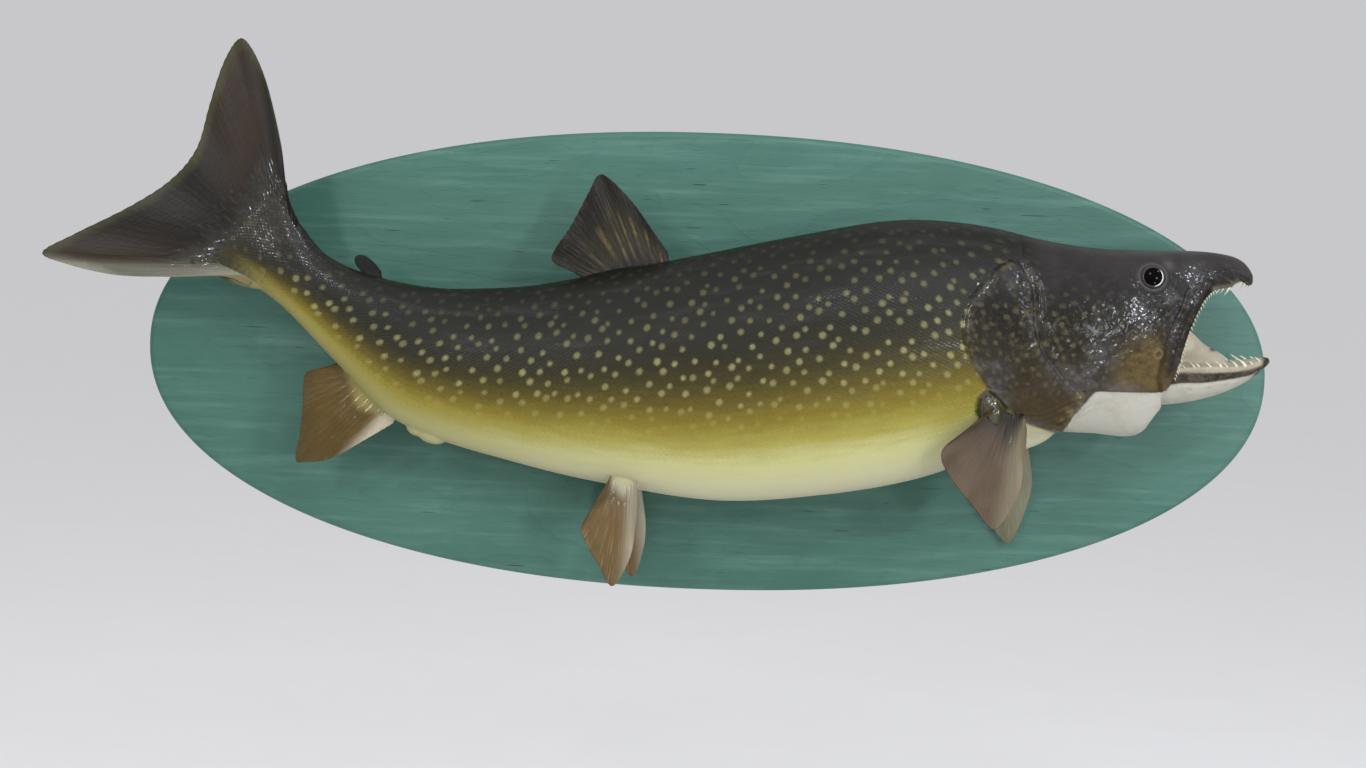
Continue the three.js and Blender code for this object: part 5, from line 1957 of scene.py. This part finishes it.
def root_scale_facts(face_grid, face):
    """Rows of scales on one face of the tail fin, thinning out toward the rays."""
    u, reach = root_rows()
    ends = on_grid(face_grid, u, np.ones_like(u)) - on_grid(face_grid, u, np.zeros_like(u))
    length = np.linalg.norm(ends, axis=1)
    ragged = np.sin(u * 37.0) * np.sin(u * 91.0 + face)
    border = ROOT_REACH * (0.52 + 0.38 * np.sin(math.pi * u) + 0.1 * ragged)
    keep = (reach < border) & (u > 0.06) & (u < 0.72)
    u, reach, v = u[keep], reach[keep], (reach / length)[keep]
    points = on_grid(face_grid, u, v)
    rearward = on_grid(face_grid, u, v + 0.02) - on_grid(face_grid, u, v)
    outward = unit(np.cross(on_grid(face_grid, u + 0.01, v) - on_grid(face_grid, u - 0.01, v), rearward))
    outward *= np.sign(outward[:, 1] * face)[:, None]
    along = np.maximum(ROOT_REACH - reach, 0) * 0.15
    lie = np.stack([along * MM, (u - 0.5) * face * 60 * MM, 0.95 - 1.2 * u], -1)
    patch = np.stack([reach / 100, 0.5 + face * (0.03 + u * 0.4), np.zeros(len(u))], -1)
    facts = {"outward": outward, "rearward": rearward, "root_lie": lie, "patch": patch}
    return points - outward * ROOT_SINK, facts


near_face, far_face, _, _ = fin_grid(FINS["tail_fin"], ROOT_ACROSS, ROOT_OUT)
near_scales, far_scales = root_scale_facts(near_face, -1), root_scale_facts(far_face, 1)
root_facts = {key: np.concatenate([near_scales[1][key], far_scales[1][key]]) for key in near_scales[1]}
add_scales("scales_tail_root", np.concatenate([near_scales[0], far_scales[0]]), root_facts)

# %% [markdown]
# ## Teeth
# A trout's teeth are thin, sharp and curved back, larger and fewer on the lower jaw and fine on the
# maxilla. Every tooth grows out of the gum, so its foot is sunk into the skin.

# %% One tooth
TOOTH_CURVE = 0.55  # how far the tip bends back, as a share of the height
TOOTH_RINGS = [  # height, radius
    (-0.18, 0.2), (0.0, 0.185), (0.2, 0.155), (0.42, 0.12), (0.64, 0.083), (0.83, 0.046), (0.95, 0.016),
]


def tooth_shape(around=9):
    rings = []
    for rise, radius in TOOTH_RINGS:
        x = np.cos(turns(around)) * radius + TOOTH_CURVE * max(rise, 0) ** 1.7
        rings.append(np.stack([x, np.sin(turns(around)) * radius * 0.85, np.full(around, rise)], -1))
    points, faces = solid_of_rings(rings)
    mesh = bpy.data.meshes.new("one_tooth")
    mesh.from_pydata(points.tolist(), [], faces)
    mesh.shade_smooth()
    return bpy.data.objects.new("one_tooth", mesh)


ONE_TOOTH = tooth_shape()
print("one tooth has", len(ONE_TOOTH.data.polygons), "faces")

# %% Rows of teeth
NEAR_TEETH = [  # x, height
    (405, 3.8), (413.5, 5.2), (418, 5.4), (428, 5.8), (438, 6.0), (443.5, 5.2), (452.5, 7.2), (460.5, 8.4),
    (467.5, 4.6), (475, 5.4),
]
FAR_TEETH = [
    (412, 4.6), (423, 5.8), (433, 6.2), (442, 5.4), (453, 7.6), (462, 9.0), (468.5, 8.4), (475, 7.0),
]
SNOUT_TEETH = [  # x, height of the gum, tooth height
    (426.5, 53.2, 4.6), (430, 53.4, 5.6), (434, 53.8, 6.4), (439, 54.6, 8.8), (443.5, 57, 6.2),
    (450.5, 59, 5.6), (454, 57.4, 6.2), (457.5, 56.4, 6.2), (461, 56.2, 5.2),
]
MAXILLA_TEETH, MAXILLA_TOOTH = 26, 2.7  # how many, and how tall
TOOTH_SINK, TOOTH_GIRTH = 0.7, 1.15


def lower_teeth(side):
    """The foot, upward and rearward directions and height of each tooth on one side of the jaw."""
    x, height, rise, _ = np.array(GUM_RIDGE).T
    ridge = height + rise - FAR_RIDGE_DROP * (side > 0) - TOOTH_SINK
    for place, tall in NEAR_TEETH if side < 0 else FAR_TEETH:
        across = max(float(jaw_half(place)) - GUM_INSET, 0.6)
        foot = [place, side * across, np.interp(place, x, ridge)]
        yield foot, [-0.38, side * 0.10, 1.0], [-1, -side * 0.25, 0], tall


def upper_teeth(side):
    """The same for the teeth of the snout and of the maxilla."""
    for x, height, tall in SNOUT_TEETH:
        across = flank(x, height + 2) - 2.2
        yield [x, side * across, height], [0.05, side * 0.05, -1], [-1, 0, 0], tall
    for x, height, wide, _ in smooth(TOOTH_BAND, np.linspace(0.3, len(TOOTH_BAND) - 1.3, MAXILLA_TEETH)):
        across = flank(x, height) - 1.6
        foot = [x + wide * 0.9, side * across, height - 0.3]
        yield foot, [0.85, side * 0.1, -0.6], [-0.5, 0, -0.6], MAXILLA_TOOTH


def tooth_finish():
    look = Finish("tooth_enamel")
    stain = look.noise(look.place(), 300.0, 3.0)
    colour = look.blend(look.step(stain, 0.4, 0.75), (206, 198, 174), (164, 148, 114))
    return look.finish(Base_Color=colour, Roughness=stain * 0.15 + 0.18, Coat_Weight=0.5,
                       Coat_Roughness=0.08)


TOOTH_SETTINGS = {
    "Shape": ONE_TOOTH, "Tilt": 0.0, "Tilt Spread": 0.12, "Turn Spread": 0.25, "Size Spread": 0.08,
    "Seed": 5, "Finish": tooth_finish(),
}
origin_in_head = head_to_world(np.zeros(3))
for row_of_teeth in (lower_teeth, upper_teeth):
    teeth = [*row_of_teeth(-1), *row_of_teeth(1)]
    feet, upward, rearward, tall = (np.array(column, float) for column in zip(*teeth))
    tooth_facts = {
        "outward": head_to_world(upward) - origin_in_head,
        "rearward": head_to_world(rearward) - origin_in_head,
        "size": np.stack([tall * TOOTH_GIRTH, tall * TOOTH_GIRTH, tall], -1) * MM}
    row_piece = set_down(row_of_teeth.__name__, head_to_world(feet) * MM, tooth_facts, TOOTH_TREE,
                         TOOTH_SETTINGS)
    print(row_piece.name, len(row_piece.data.polygons), "faces")
